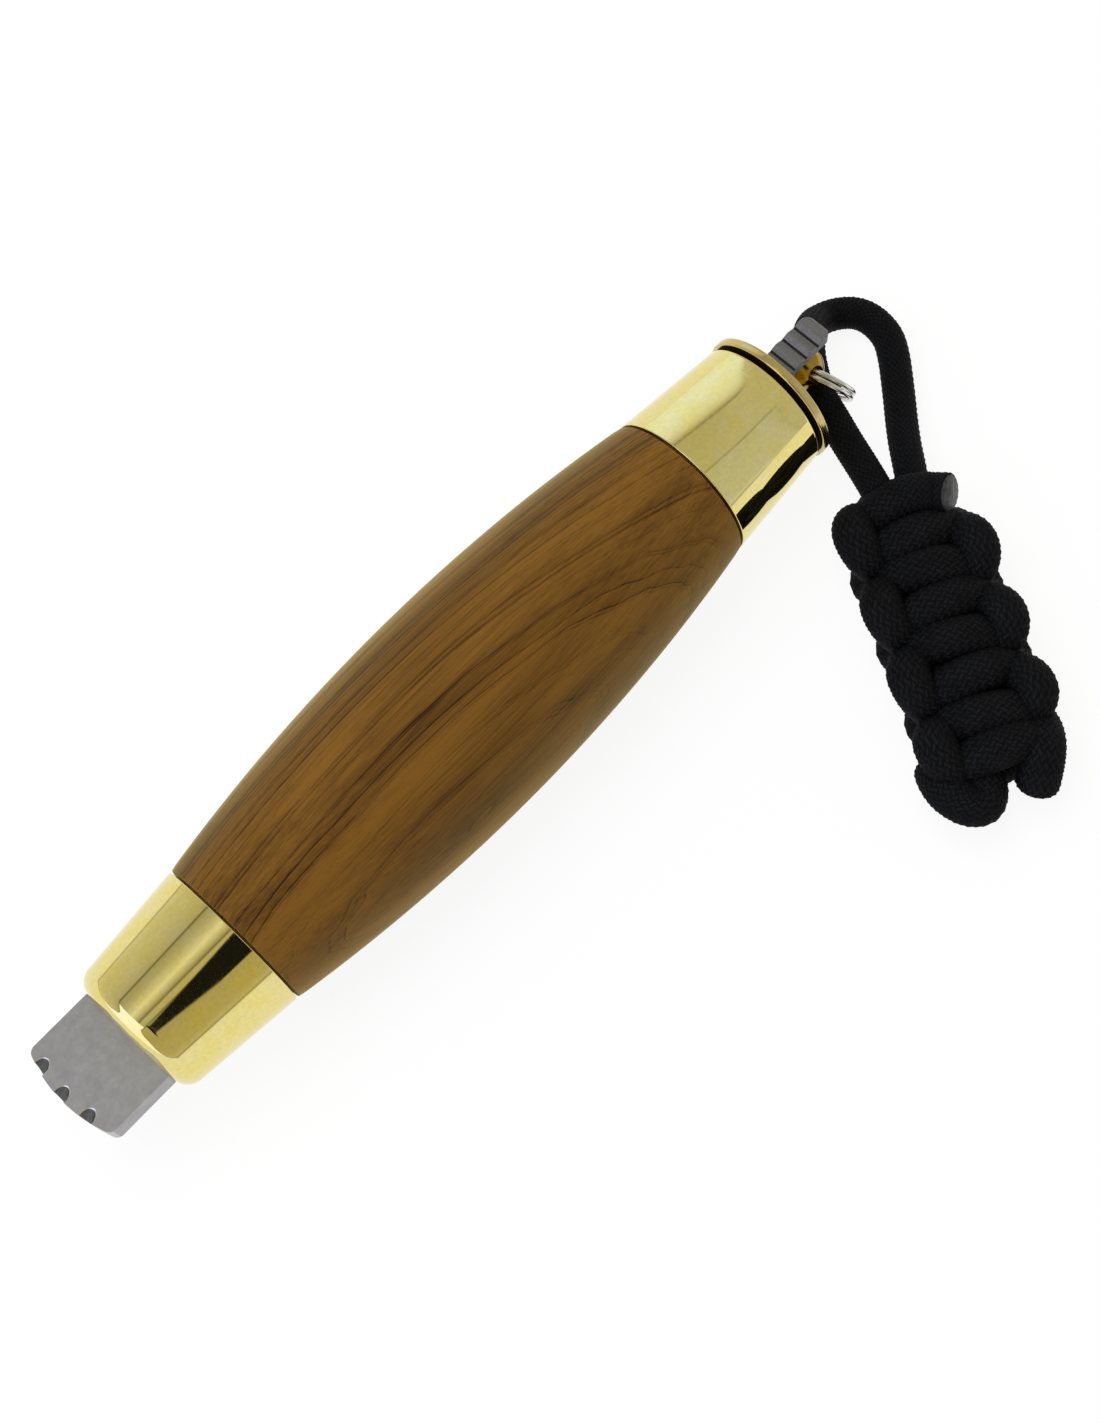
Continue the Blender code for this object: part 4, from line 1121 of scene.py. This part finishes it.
class KNIFE_OT_frame(bpy.types.Operator):
    """Makes the sliding frame: two plates, the rear block and the pins and rivets through them."""

    bl_idname = "barrel_knife.frame"
    bl_label = "Frame"

    def execute(self, context):
        sizes = context.scene.knife_sizes
        colour = context.scene.knife_colours.blade_steel
        steel = steel_material("satin_frame_steel", colour, 0.32, GROUND_GRIT, 0.10)
        half = LINER_WIDTH / 2
        outline = [
            (BLOCK_REAR_X, -half), (BLOCK_REAR_X, half),
            *arc((PIVOT_X, 0), half, math.pi / 2, 3 * math.pi / 2, LONG_POINTS),
        ]
        rivet_places = [(BLOCK_X, RIVET_SPACING / 2), (BLOCK_X, -RIVET_SPACING / 2)]
        leaf_places = [(HINGE_X - LEAF_RIVET_PITCH / 2, 0), (HINGE_X + LEAF_RIVET_PITCH / 2, 0)]
        for side, low, high in (
            ("top", LINER_INNER, LINER_OUTER), ("bottom", -LINER_OUTER, -LINER_INNER),
        ):
            liner = plate(f"liner_{side}_plate", outline, low, high)
            break_edges(liner, sizes.edge_break)
            holes = [(PIVOT_X, 0, PIN_RADIUS)] + [(x, y, RIVET_RADIUS) for x, y in rivet_places]
            if low > 0:
                holes += [(x, y, LEAF_RIVET_RADIUS) for x, y in leaf_places]
            for x, y, radius in holes:
                cut(liner, rod(radius + FIT_GAP, 4 * LINER_OUTER, (x, y, 0)))
            dress(liner, "frame", f"frame_liner_{side}", steel)
        spacer = box((BLOCK_LENGTH, LINER_WIDTH, BLADE_THICKNESS), (BLOCK_X, 0, 0))
        spacer.name = "spacer_block"
        break_edges(spacer, sizes.edge_break)
        for x, y in rivet_places:
            cut(spacer, rod(RIVET_RADIUS + FIT_GAP, 2 * BLADE_THICKNESS, (x, y, 0)))
        along = Matrix.Rotation(math.pi / 2, 4, "Y")
        shank_hole = 2 * SHANK_DEPTH + 4 * FIT_GAP
        cut(spacer, rod(SHANK_RADIUS + FIT_GAP, shank_hole, (BLOCK_REAR_X, 0, 0), along))
        dress(spacer, "frame", "rear_block", steel)
        seat = LINER_OUTER + FIT_GAP
        pins = []
        for solid, place, radius, head_radius, head in (
            ("pivot_pin", (PIVOT_X, 0), PIN_RADIUS, PIN_HEAD_RADIUS, PIN_HEAD),
            ("block_rivet_left", rivet_places[0], RIVET_RADIUS, RIVET_HEAD_RADIUS, RIVET_HEAD),
            ("block_rivet_right", rivet_places[1], RIVET_RADIUS, RIVET_HEAD_RADIUS, RIVET_HEAD),
        ):
            top = dome(seat, head_radius, head)
            bottom = [(-z, r) for z, r in reversed(top)]
            pins.append((solid, place, [*bottom, (-seat, radius), (seat, radius), *top]))
        seat = LEAF_LOW + LEAF_THICKNESS + LEAF_LIFT
        for side, place in zip(("front", "rear"), leaf_places):
            profile = [(LINER_INNER, 0), (LINER_INNER, LEAF_RIVET_RADIUS), (seat, LEAF_RIVET_RADIUS)]
            profile += dome(seat, LEAF_RIVET_HEAD_RADIUS, RIVET_HEAD)
            pins.append((f"leaf_rivet_{side}", place, profile))
        for solid, (x, y), profile in pins:
            at = (KNIFE_X + x, y, AXIS_HEIGHT)
            pin = turned(solid + "_domed", profile, steps=SMALL_STEPS, axis="Z", at=at)
            dress(pin, "frame", solid, steel)
        return {"FINISHED"}


class KNIFE_OT_end_fittings(bpy.types.Operator):
    """Turns the brass end disc with its boss and the post with its drilled ball."""

    bl_idname = "barrel_knife.end_fittings"
    bl_label = "End disc and eye"

    def execute(self, context):
        colours = context.scene.knife_colours
        # Round of the disc's rim, and how far in from the rim its front is left without the painted gap
        # shade
        soft = 0.00022
        unshaded = 0.00045
        boss = BORE_RADIUS - RUN_GAP
        hole = SHANK_RADIUS + FIT_GAP
        profile = [
            (DISC_REAR_X, hole),
            *arc((DISC_REAR_X - soft, DISC_RADIUS - soft), soft, 0, math.pi / 2, EDGE_POINTS),
            *arc((DISC_FRONT_X + soft, DISC_RADIUS - soft), soft, math.pi / 2, math.pi, EDGE_POINTS),
            (DISC_FRONT_X, DISC_RADIUS - unshaded), (DISC_FRONT_X, boss), (BOSS_FRONT_X, boss),
            (BOSS_FRONT_X, hole),
        ]
        disc = turned("brushed_disc", profile, closed=True)
        # The latch's window goes through the disc, and over it the boss is open
        low = LEAF_HIGH - (DISC_REAR_X - HINGE_X) * math.tan(PRESS_ANGLE) - RUN_GAP
        high = LEAF_TOP + RUN_GAP
        width = LEAF_WIDTH + 2 * RUN_GAP
        cut(disc, box((4 * BOSS_LENGTH, width, high - low), (DISC_FRONT_X, 0, (low + high) / 2)))
        top = 2 * BORE_RADIUS
        cut(disc, box((2 * BOSS_LENGTH, width, top - low), (BOSS_FRONT_X, 0, (low + top) / 2)))
        brushed = brass_material(colours.dull_brass, "brushed_brass", 0.17, 0.12)
        dress(disc, "frame", "end_disc", brushed)
        # Painted shade: the disc's front face inside its rim gets the dark gap colour, standing in for the
        # shade in the gap
        gap_shade = shared("painted_gap_shade", gap_shade_material)
        inner = DISC_RADIUS - unshaded
        gap = DISC_FRONT_X + soft / 8
        paint(disc, gap_shade, lambda at, normal: at.x < gap and math.hypot(at.y, at.z) < inner)
        seat = DISC_REAR_X + FIT_GAP
        lowest = math.pi / 2 - math.asin(NECK_RADIUS / BALL_RADIUS)
        neck = BALL_X - BALL_RADIUS * math.sin(lowest)
        ball = arc((BALL_X, 0), BALL_RADIUS, 0, math.pi / 2 + lowest, LONG_POINTS)
        ball[0] = (BALL_X + BALL_RADIUS, 0)
        profile = [
            *ball,
            ((2 * neck + seat) / 3, NECK_RADIUS * 1.02), ((neck + 2 * seat) / 3, NECK_RADIUS * 1.14),
            ((neck + 4 * seat) / 5, COLLAR_RADIUS * 0.86), (seat + (neck - seat) / 8, COLLAR_RADIUS),
            (seat, COLLAR_RADIUS), (seat, SHANK_RADIUS),
            (BOSS_FRONT_X - SHANK_DEPTH, SHANK_RADIUS), (BOSS_FRONT_X - SHANK_DEPTH, 0),
        ]
        post = turned("drilled_ball", profile, steps=SMALL_STEPS)
        drill = Matrix.Rotation(-EYE_TILT, 4, "X") @ Matrix.Rotation(math.pi / 2, 4, "X")
        cut(post, rod(EYE_RADIUS, 4 * BALL_RADIUS, (BALL_X, 0, 0), drill, EYE_STEPS))
        break_edges(post, BALL_BREAK)
        # Painted shade: the ball gets a darker, browner copy of the brass for the shade under the tongue
        # and the dark things it mirrors
        shaded_ball = brass_material(colours.shaded_ball_brass, "painted_shade_ball_brass", 0.14, 0.05)
        dress(post, "frame", "eye_post", shaded_ball)
        return {"FINISHED"}


class KNIFE_OT_latch(bpy.types.Operator):
    """Makes the latch spring with its catching nib and its toothed thumb tongue."""

    bl_idname = "barrel_knife.latch"
    bl_label = "Latch spring"

    def execute(self, context):
        tooth_top = LEAF_TOP + TONGUE_RISE
        step = DISC_REAR_X + RUN_GAP * 2
        nib_rear = MOUTH_X - MOUTH_LIP - RUN_GAP
        ramp_start = LEAF_FRONT_X + LEAF_ROOT
        ramp_end = ramp_start + LEAF_RAMP
        top = [
            (LEAF_FRONT_X, LEAF_LOW + LEAF_THICKNESS), (ramp_start, LEAF_LOW + LEAF_THICKNESS),
            (ramp_end, LEAF_TOP), (nib_rear - NIB_LENGTH, LEAF_TOP), (nib_rear - NIB_LENGTH / 6, NIB_TOP),
            (nib_rear, NIB_TOP), (nib_rear, LEAF_TOP), (step, LEAF_TOP),
            (step + TOOTH_PITCH / 8, tooth_top - TOOTH_DEPTH),
        ]
        last_ridge = TONGUE_TIP_X - LAST_RIDGE * TOOTH_PITCH
        for i in reversed(range(TOOTH_COUNT)):
            ridge = last_ridge - i * TOOTH_PITCH
            top += [(ridge + x * TOOTH_PITCH, tooth_top - z * TOOTH_DEPTH) for x, z in RIDGE_SHAPE]
        tip_round = (tooth_top - LEAF_HIGH) / 3
        tip = arc((TONGUE_TIP_X - tip_round, tooth_top - 1.6 * tip_round), tip_round, math.pi / 2, 0)
        low = [
            (TONGUE_TIP_X - tip_round, LEAF_HIGH), (ramp_end, LEAF_HIGH), (ramp_start, LEAF_LOW),
            (LEAF_FRONT_X, LEAF_LOW),
        ]
        half = LEAF_WIDTH / 2
        leaf = plate("leaf_and_tongue", top + tip + low, -half, half, upright=True)
        break_edges(leaf, context.scene.knife_sizes.edge_break)
        corner = TONGUE_TIP_X - TONGUE_CORNER
        plan = [
            (LEAF_FRONT_X - LEAF_THICKNESS, -2 * half), (corner - TONGUE_CORNER, -2 * half),
            (corner - TONGUE_CORNER, -half),
            *arc((corner, TONGUE_CORNER - half), TONGUE_CORNER, -math.pi / 2, 0),
            *arc((corner, half - TONGUE_CORNER), TONGUE_CORNER, 0, math.pi / 2),
            (corner - TONGUE_CORNER, half), (corner - TONGUE_CORNER, 2 * half),
            (LEAF_FRONT_X - LEAF_THICKNESS, 2 * half),
        ]
        cut(leaf, plate("plan", plan, -2 * BORE_RADIUS, 2 * BORE_RADIUS), "INTERSECT")
        for side in (-1, 1):
            x = HINGE_X + side * LEAF_RIVET_PITCH / 2
            at = (x, 0, LEAF_LOW + LEAF_THICKNESS / 2)
            cut(leaf, rod(LEAF_RIVET_RADIUS + RUN_GAP, 4 * LEAF_THICKNESS, at))
        colours = context.scene.knife_colours
        blasted = steel_material("blasted_spring_steel", colours.spring_steel, 0.50, BLAST_GRIT, 0.45)
        dress(leaf, "latch", "latch_spring", blasted)
        # Painted shade: the bottoms of the grooves between the teeth get a dark steel, standing in for the
        # shade in the narrow grooves
        dark = steel_material("painted_shade_groove_steel", colours.groove_shade_steel, 0.6, BLAST_GRIT, 0.45)
        grooves = [last_ridge - (i + GROOVE_PLACE) * TOOTH_PITCH for i in range(TOOTH_COUNT)]

        def in_groove(at, normal):
            """Whether a face is part of the bottom of a groove."""
            return normal.z > 0.1 and any(abs(at.x - x) < GROOVE_HALF * TOOTH_PITCH for x in grooves)

        paint(leaf, dark, in_groove)
        return {"FINISHED"}


class KNIFE_OT_ring(bpy.types.Operator):
    """Winds the split ring: two close turns of wire through the ball's eye."""

    bl_idname = "barrel_knife.ring"
    bl_label = "Split ring"

    def execute(self, context):
        count = SMALL_STEPS * RING_TURNS
        place = (
            Matrix.Translation((KNIFE_X + BALL_X, 0, AXIS_HEIGHT))
            @ Matrix.Rotation(-EYE_TILT, 4, "X")
            @ Matrix.Rotation(-RING_SWING, 4, "Y")
            @ Matrix.Rotation(RING_TWIST, 4, "Z")
        )
        curve = bpy.data.curves.new("wire_ring", "CURVE")
        curve.dimensions = "3D"
        curve.bevel_depth = context.scene.knife_sizes.ring_wire / 2
        curve.bevel_resolution = 6
        curve.use_fill_caps = True
        spline = curve.splines.new("POLY")
        spline.points.add(count)
        for i, point in enumerate(spline.points):
            turn = 2 * math.pi * RING_TURNS * i / count + math.pi
            along = RING_PITCH * (RING_TURNS * i / count - RING_TURNS / 2)
            up = RING_LIFT - RING_RADIUS * (1 - math.cos(turn))
            point.co = (*(place @ Vector((along, RING_RADIUS * math.sin(turn), up))), 1)
        holder = new_object("wire_ring", curve)
        bpy.context.view_layer.update()
        ready = holder.evaluated_get(bpy.context.evaluated_depsgraph_get())
        mesh = bpy.data.meshes.new_from_object(ready)
        bpy.data.objects.remove(holder)
        bpy.data.curves.remove(curve)
        ring = new_object("wire_ring", mesh)
        break_edges(ring, WIRE_BREAK)
        colour = context.scene.knife_colours.ring_and_rim_highlight_steel
        bright = steel_material("bright_ring_steel", colour, 0.16, WIRE_GRIT, 0.03)
        dress(ring, "lanyard", "split_ring", bright)
        return {"FINISHED"}


class KNIFE_OT_weave(bpy.types.Operator):
    """Weaves the lanyard's bar: two strands that cross in turn before and behind a core of two."""

    bl_idname = "barrel_knife.weave"
    bl_label = "Woven bar"

    def execute(self, context):
        sizes = context.scene.knife_sizes
        cord = shared("braided_nylon", cord_material, context.scene.knife_colours.cord)
        wide = sizes.strand_width / sizes.cord_diameter
        press = (wide, wide, sizes.strand_height / sizes.cord_diameter)
        reach = (WEAVE_WIDTH - sizes.strand_width) / 2
        lift = (WEAVE_THICKNESS - sizes.strand_height) / 2
        middle = WEAVE_TOP.z + WEAVE_THICKNESS / 2
        heading = Vector((math.cos(WEAVE_HEADING), math.sin(WEAVE_HEADING), 0))
        right = Vector((-heading.y, heading.x, 0))
        top = Vector((KNIFE_X + WEAVE_TOP.x, WEAVE_TOP.y, middle))

        def place(across, along, up):
            """A point of the bar, right of its middle, down from its top end and over its middle plane."""
            return top + heading * along + right * across + Vector((0, 0, up))

        def full(wave, power):
            """A wave that stays longer at its crests."""
            return math.copysign(abs(wave) ** power, wave)

        def working(turns, side, start, end, hold, wide_left, wide_right):
            """A strand that crosses between its side turns."""
            points = []
            count = CROSSING_STEPS * len(turns)
            for i in range(count + 1):
                turn = start + (end - start) * i / count
                eased = turn + hold * math.sin(2 * math.pi * turn) / (2 * math.pi)
                along = float(np.interp(eased, range(len(turns)), turns))
                across = -side * full(math.cos(math.pi * turn), SIDE_POWER)
                across *= (wide_left if across < 0 else wide_right) * reach
                up = -side * lift * full(math.cos(2 * math.pi * turn), CROSSING_POWER)
                points.append(place(across, along, up))
            return points

        strands = {
            "weave_front_strand": working(FRONT_TURNS, 1, *FRONT_STRAND),
            "weave_back_strand": working(BACK_TURNS, -1, *BACK_STRAND),
        }
        for name, route in (("cut_end", CUT_END), ("foot_bight", FOOT_BIGHT), ("foot_petal", FOOT_PETAL)):
            strands["weave_" + name] = smooth_route([place(*at) for at in route], ROUTE_STEPS)
        for side, across in CORE_PLACES.items():
            steps = np.linspace(*CORE_SPAN, CORE_STEPS)
            strands["weave_core_" + side] = [place(across, along, 0) for along in steps]
        start_round, end_round = STRAND_ROUNDS
        for name, line in strands.items():
            last_round = CUT_ROUND if name == "weave_cut_end" else end_round
            piece = braided(name, line, sizes, start_round, last_round, press)
            piece.data.materials.append(cord)
            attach(piece, "lanyard")
        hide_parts("lanyard_weave")
        tip = place(*CUT_END[-1]) - ORIGIN
        closed = MELTED_REACH * sizes.cord_diameter / 2
        melted = melted_material(context.scene.knife_colours.melted_cord)
        paint(bpy.data.objects["weave_cut_end"], melted, lambda at, normal: (at - tip).length < closed)
        return {"FINISHED"}


class KNIFE_OT_loop(bpy.types.Operator):
    """Lays the cord's free loop from the woven bar through the split ring and back."""

    bl_idname = "barrel_knife.loop"
    bl_label = "Cord loop"

    def execute(self, context):
        sizes = context.scene.knife_sizes
        cord = shared("braided_nylon", cord_material, context.scene.knife_colours.cord)
        route = [point + Vector((KNIFE_X, 0, 0)) for point in smooth_route(LOOP_ROUTE, ROUTE_STEPS)]
        loop = braided("cord_loop", route, sizes, LOOP_ROUND, LOOP_ROUND)
        loop.data.materials.append(cord)
        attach(loop, "lanyard")
        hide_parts("lanyard_loop")
        return {"FINISHED"}


# Stage


class KNIFE_OT_stage(bpy.types.Operator):
    """Sets the pale floor, the soft light of a studio tent and the camera."""

    bl_idname = "barrel_knife.stage"
    bl_label = "Stage"

    def execute(self, context):
        settings = context.scene.knife_stage
        scene = context.scene
        scene.view_settings.view_transform = "Standard"
        self.set_floor()
        self.set_world(scene)
        self.set_lamp(settings)
        self.set_camera(scene, settings)
        return {"FINISHED"}

    def set_floor(self):
        """White paper that shows as white from above and still takes soft shadows."""
        bm = bmesh.new()
        bmesh.ops.create_grid(bm, x_segments=8, y_segments=8, size=FLOOR_SIZE)
        floor = from_bmesh("floor", bm)
        floor.location.z = -FLOOR_DROP
        material = bpy.data.materials.new("white_paper")
        material.use_nodes = True
        tree = material.node_tree
        shader = tree.nodes["Principled BSDF"]
        feed(tree, shader, {"Base Color": linear("#f6f6f6"), "Roughness": 0.9})
        path = node(tree, "LightPath")
        seen = path.outputs["Is Camera Ray"]
        for ray in ("Is Glossy Ray", "Is Transmission Ray"):
            seen = node(tree, "Math", (seen, path.outputs[ray]), operation="MAXIMUM")
        share = node(tree, "Math", (seen, FLOOR_GLOW), operation="MULTIPLY")
        white = node(tree, "Emission", {"Color": linear("#ffffff"), "Strength": 1.0})
        mixed = node(tree, "MixShader", (share, shader, white))
        feed(tree, tree.nodes["Material Output"], {"Surface": mixed})
        floor.data.materials.append(material)

    def set_world(self, scene):
        """A tent of white cloth: panels of different tone with sewn, round-cornered borders, and a gap for
        the lens."""
        world = bpy.data.worlds.new("studio_tent")
        world.use_nodes = True
        scene.world = world
        tree = world.node_tree
        place = node(tree, "TexCoord").outputs["Generated"]
        parts = node(tree, "SeparateXYZ", (place,))
        run = parts.outputs["X"]
        left = node(tree, "Math", (parts.outputs["Y"], -1.0), operation="MULTIPLY")
        turn = node(tree, "Math", (left, parts.outputs["Z"]), operation="ARCTAN2")
        turn = node(tree, "Math", (turn,), operation="DEGREES")
        # The panels are near, so that their borders drift along the mouth's sleeve and end at a slant
        drift = node(tree, "MapRange", (run, *PANEL_DRIFT))
        angle = node(tree, "Math", (turn, drift), operation="SUBTRACT")
        wide = node(tree, "Math", (turn,), operation="ABSOLUTE")
        slant = node(tree, "Math", (wide, PANEL_SLANT, run), operation="MULTIPLY_ADD")
        side_corner, nose_corner, mouth_corner = PANEL_CORNERS

        def border(low, high, nose, mouth):
            """How far outside a panel's border a place is, in corner radii; less than nothing is inside."""
            half = (high - low) / 2
            off = node(tree, "Math", (angle, (low + high) / 2), operation="SUBTRACT")
            off = node(tree, "Math", (off,), operation="ABSOLUTE")
            side = node(tree, "MapRange", (off, half - side_corner, half), clamp=False)
            fore = node(tree, "MapRange", (run, nose + nose_corner, nose), clamp=False)
            aft = node(tree, "MapRange", (slant, mouth - mouth_corner, mouth), clamp=False)
            end = node(tree, "Math", (fore, aft), operation="MAXIMUM")
            corner = node(tree, "CombineXYZ", (side, end))
            corner = node(tree, "VectorMath", (corner, (0, 0, 0)), operation="MAXIMUM")
            far = node(tree, "VectorMath", (corner,), operation="LENGTH").outputs["Value"]
            return node(tree, "Math", (far, 1.0), operation="SUBTRACT")

        def tones(stops):
            """A ramp of tones over the angle; a tone's warmth takes from its blue."""
            share = node(tree, "MapRange", (angle, -180.0, 180.0))
            ramp = [
                ((at + 180) / 360, (level, level * (1 - warmth * 0.25), level * (1 - warmth), 1.0))
                for at, level, warmth in stops
            ]
            return node(tree, "ValToRGB", (share,), ramp=ramp)

        along = node(tree, "MapRange", (run, *TONE_CHANGE), interpolation_type="SMOOTHSTEP")
        ends = {0: along, 6: tones(NOSE_TONES), 7: tones(MOUTH_TONES)}
        tent = node(tree, "Mix", ends, data_type="RGBA").outputs[2]
        borders = []
        away = node(tree, "Math", (1.0, along), operation="SUBTRACT")
        for off, panels in ((along, NOSE_PANELS), (away, MOUTH_PANELS)):
            for panel in panels:
                far = border(*panel)
                borders.append(node(tree, "Math", (off, FAR_OFF, far), operation="MULTIPLY_ADD"))
        near = borders[0]
        for far in borders[1:]:
            near = node(tree, "Math", (near, far), operation="MINIMUM")
        outside = node(tree, "MapRange", (near, 0.0, PANEL_FADE))
        # Past the panels' ends the cloth is bright at the nose and of a middle tone at the mouth
        for value, (start, full, tone) in ((run, NOSE_END), (slant, MOUTH_END)):
            end = node(tree, "MapRange", (value, start, full))
            end = node(tree, "Math", (end, outside), operation="MULTIPLY")
            tent = node(tree, "Mix", {0: end, 6: tent, 7: tone}, data_type="RGBA").outputs[2]
        for far in borders:
            seam = node(tree, "Math", (far,), operation="ABSOLUTE")
            seam = node(tree, "MapRange", (seam, *PANEL_SEAM))
            sewn = node(tree, "Mix", {0: 1.0, 6: tent, 7: seam}, data_type="RGBA", blend_type="MULTIPLY")
            tent = sewn.outputs[2]
        # The gap for the lens is a wedge over the front ferrule
        sides = []
        for low, high, first, last in LENS_SIDES:
            edge = node(tree, "MapRange", (run, low, high, first, last))
            past = node(tree, "Math", (turn, edge), operation="SUBTRACT")
            sides.append(node(tree, "MapRange", (past, -1.0, 1.0)))
        lens = node(tree, "Math", sides, operation="SUBTRACT")
        for start, full in LENS_ENDS:
            reach = node(tree, "MapRange", (run, start, full))
            lens = node(tree, "Math", (lens, reach), operation="MULTIPLY")
        tent = node(tree, "Mix", {0: lens, 6: tent, 7: grey(LENS_TONE)}, data_type="RGBA").outputs[2]
        seen = node(tree, "LightPath").outputs["Is Camera Ray"]
        tent = node(tree, "Mix", {0: seen, 6: tent, 7: grey(1.0)}, data_type="RGBA").outputs[2]
        feed(tree, tree.nodes["Background"], {"Color": tent, "Strength": 1.0})

    def set_lamp(self, settings):
        """A large soft lamp that no reflection shows."""
        lamp = bpy.data.lights.new("soft_lamp", "AREA")
        lamp.shape = "RECTANGLE"
        lamp.size, lamp.size_y = LAMP_SIZE
        lamp.energy = settings.lamp_power
        holder = new_object("soft_lamp", lamp)
        holder.location = LAMP_PLACE
        holder.rotation_euler = (LAMP_AIM - LAMP_PLACE).to_track_quat("-Z", "Y").to_euler()
        holder.visible_glossy = False
        holder.visible_camera = False

    def set_camera(self, scene, settings):
        """The camera, from the directions of its sight, of the barrel's run and across it."""
        offset = math.atan(AXIS_OFFSET_PX / FOCAL_PX)
        foot = Vector((KNIFE_X + SIGHT_FOOT, 0, AXIS_HEIGHT))
        axis = Vector((1, 0, 0))
        down = Vector((0, math.sin(SIGHT_LEAN), -math.cos(SIGHT_LEAN)))
        beside = Vector((0, -math.cos(SIGHT_LEAN), -math.sin(SIGHT_LEAN)))
        level = down * math.cos(SIGHT_AHEAD) + axis * math.sin(SIGHT_AHEAD)
        sight = level * math.cos(offset) + beside * math.sin(offset)
        cross = beside * math.cos(offset) - level * math.sin(offset)
        run = axis * math.cos(SIGHT_AHEAD) - down * math.sin(SIGHT_AHEAD)
        right = run * RUN_RIGHT_DOWN[0] + cross * CROSS_RIGHT_DOWN[0]
        below = run * RUN_RIGHT_DOWN[1] + cross * CROSS_RIGHT_DOWN[1]
        turn = Matrix((right, -below, -sight)).transposed().to_4x4()
        turn.translation = foot - down * settings.distance
        data = bpy.data.cameras.new("camera")
        data.lens = settings.focal_length
        data.sensor_width = SENSOR_MM
        data.clip_start = 0.01
        camera = new_object("camera", data)
        camera.matrix_world = turn
        scene.camera = camera


class KNIFE_PT_panel(bpy.types.Panel):
    """Lists the knife's settings and operators."""

    bl_idname = "KNIFE_PT_panel"
    bl_label = "Barrel knife"
    bl_space_type = "VIEW_3D"
    bl_region_type = "UI"
    bl_category = "Barrel knife"

    def draw(self, context):
        layout = self.layout
        for group in (context.scene.knife_sizes, context.scene.knife_colours, context.scene.knife_stage):
            column = layout.column()
            for name in group.bl_rna.properties.keys():
                if name not in ("rna_type", "name"):
                    column.prop(group, name)
        for operator in OPERATORS:
            layout.operator(operator.bl_idname)


# The camera and the cords come first
OPERATORS = (
    KNIFE_OT_stage, KNIFE_OT_ring, KNIFE_OT_weave, KNIFE_OT_loop, KNIFE_OT_wood, KNIFE_OT_ferrules,
    KNIFE_OT_blade, KNIFE_OT_frame, KNIFE_OT_end_fittings, KNIFE_OT_latch,
)
CLASSES = (KnifeColours, KnifeSizes, KnifeStage, *OPERATORS, KNIFE_PT_panel)


def register():
    for kind in CLASSES:
        bpy.utils.register_class(kind)
    bpy.types.Scene.knife_colours = bpy.props.PointerProperty(type=KnifeColours)
    bpy.types.Scene.knife_sizes = bpy.props.PointerProperty(type=KnifeSizes)
    bpy.types.Scene.knife_stage = bpy.props.PointerProperty(type=KnifeStage)


def unregister():
    del bpy.types.Scene.knife_stage
    del bpy.types.Scene.knife_sizes
    del bpy.types.Scene.knife_colours
    for kind in reversed(CLASSES):
        bpy.utils.unregister_class(kind)


def main():
    register()
    for operator in OPERATORS:
        group, name = operator.bl_idname.split(".")
        getattr(getattr(bpy.ops, group), name)()


if __name__ == "__main__":
    main()
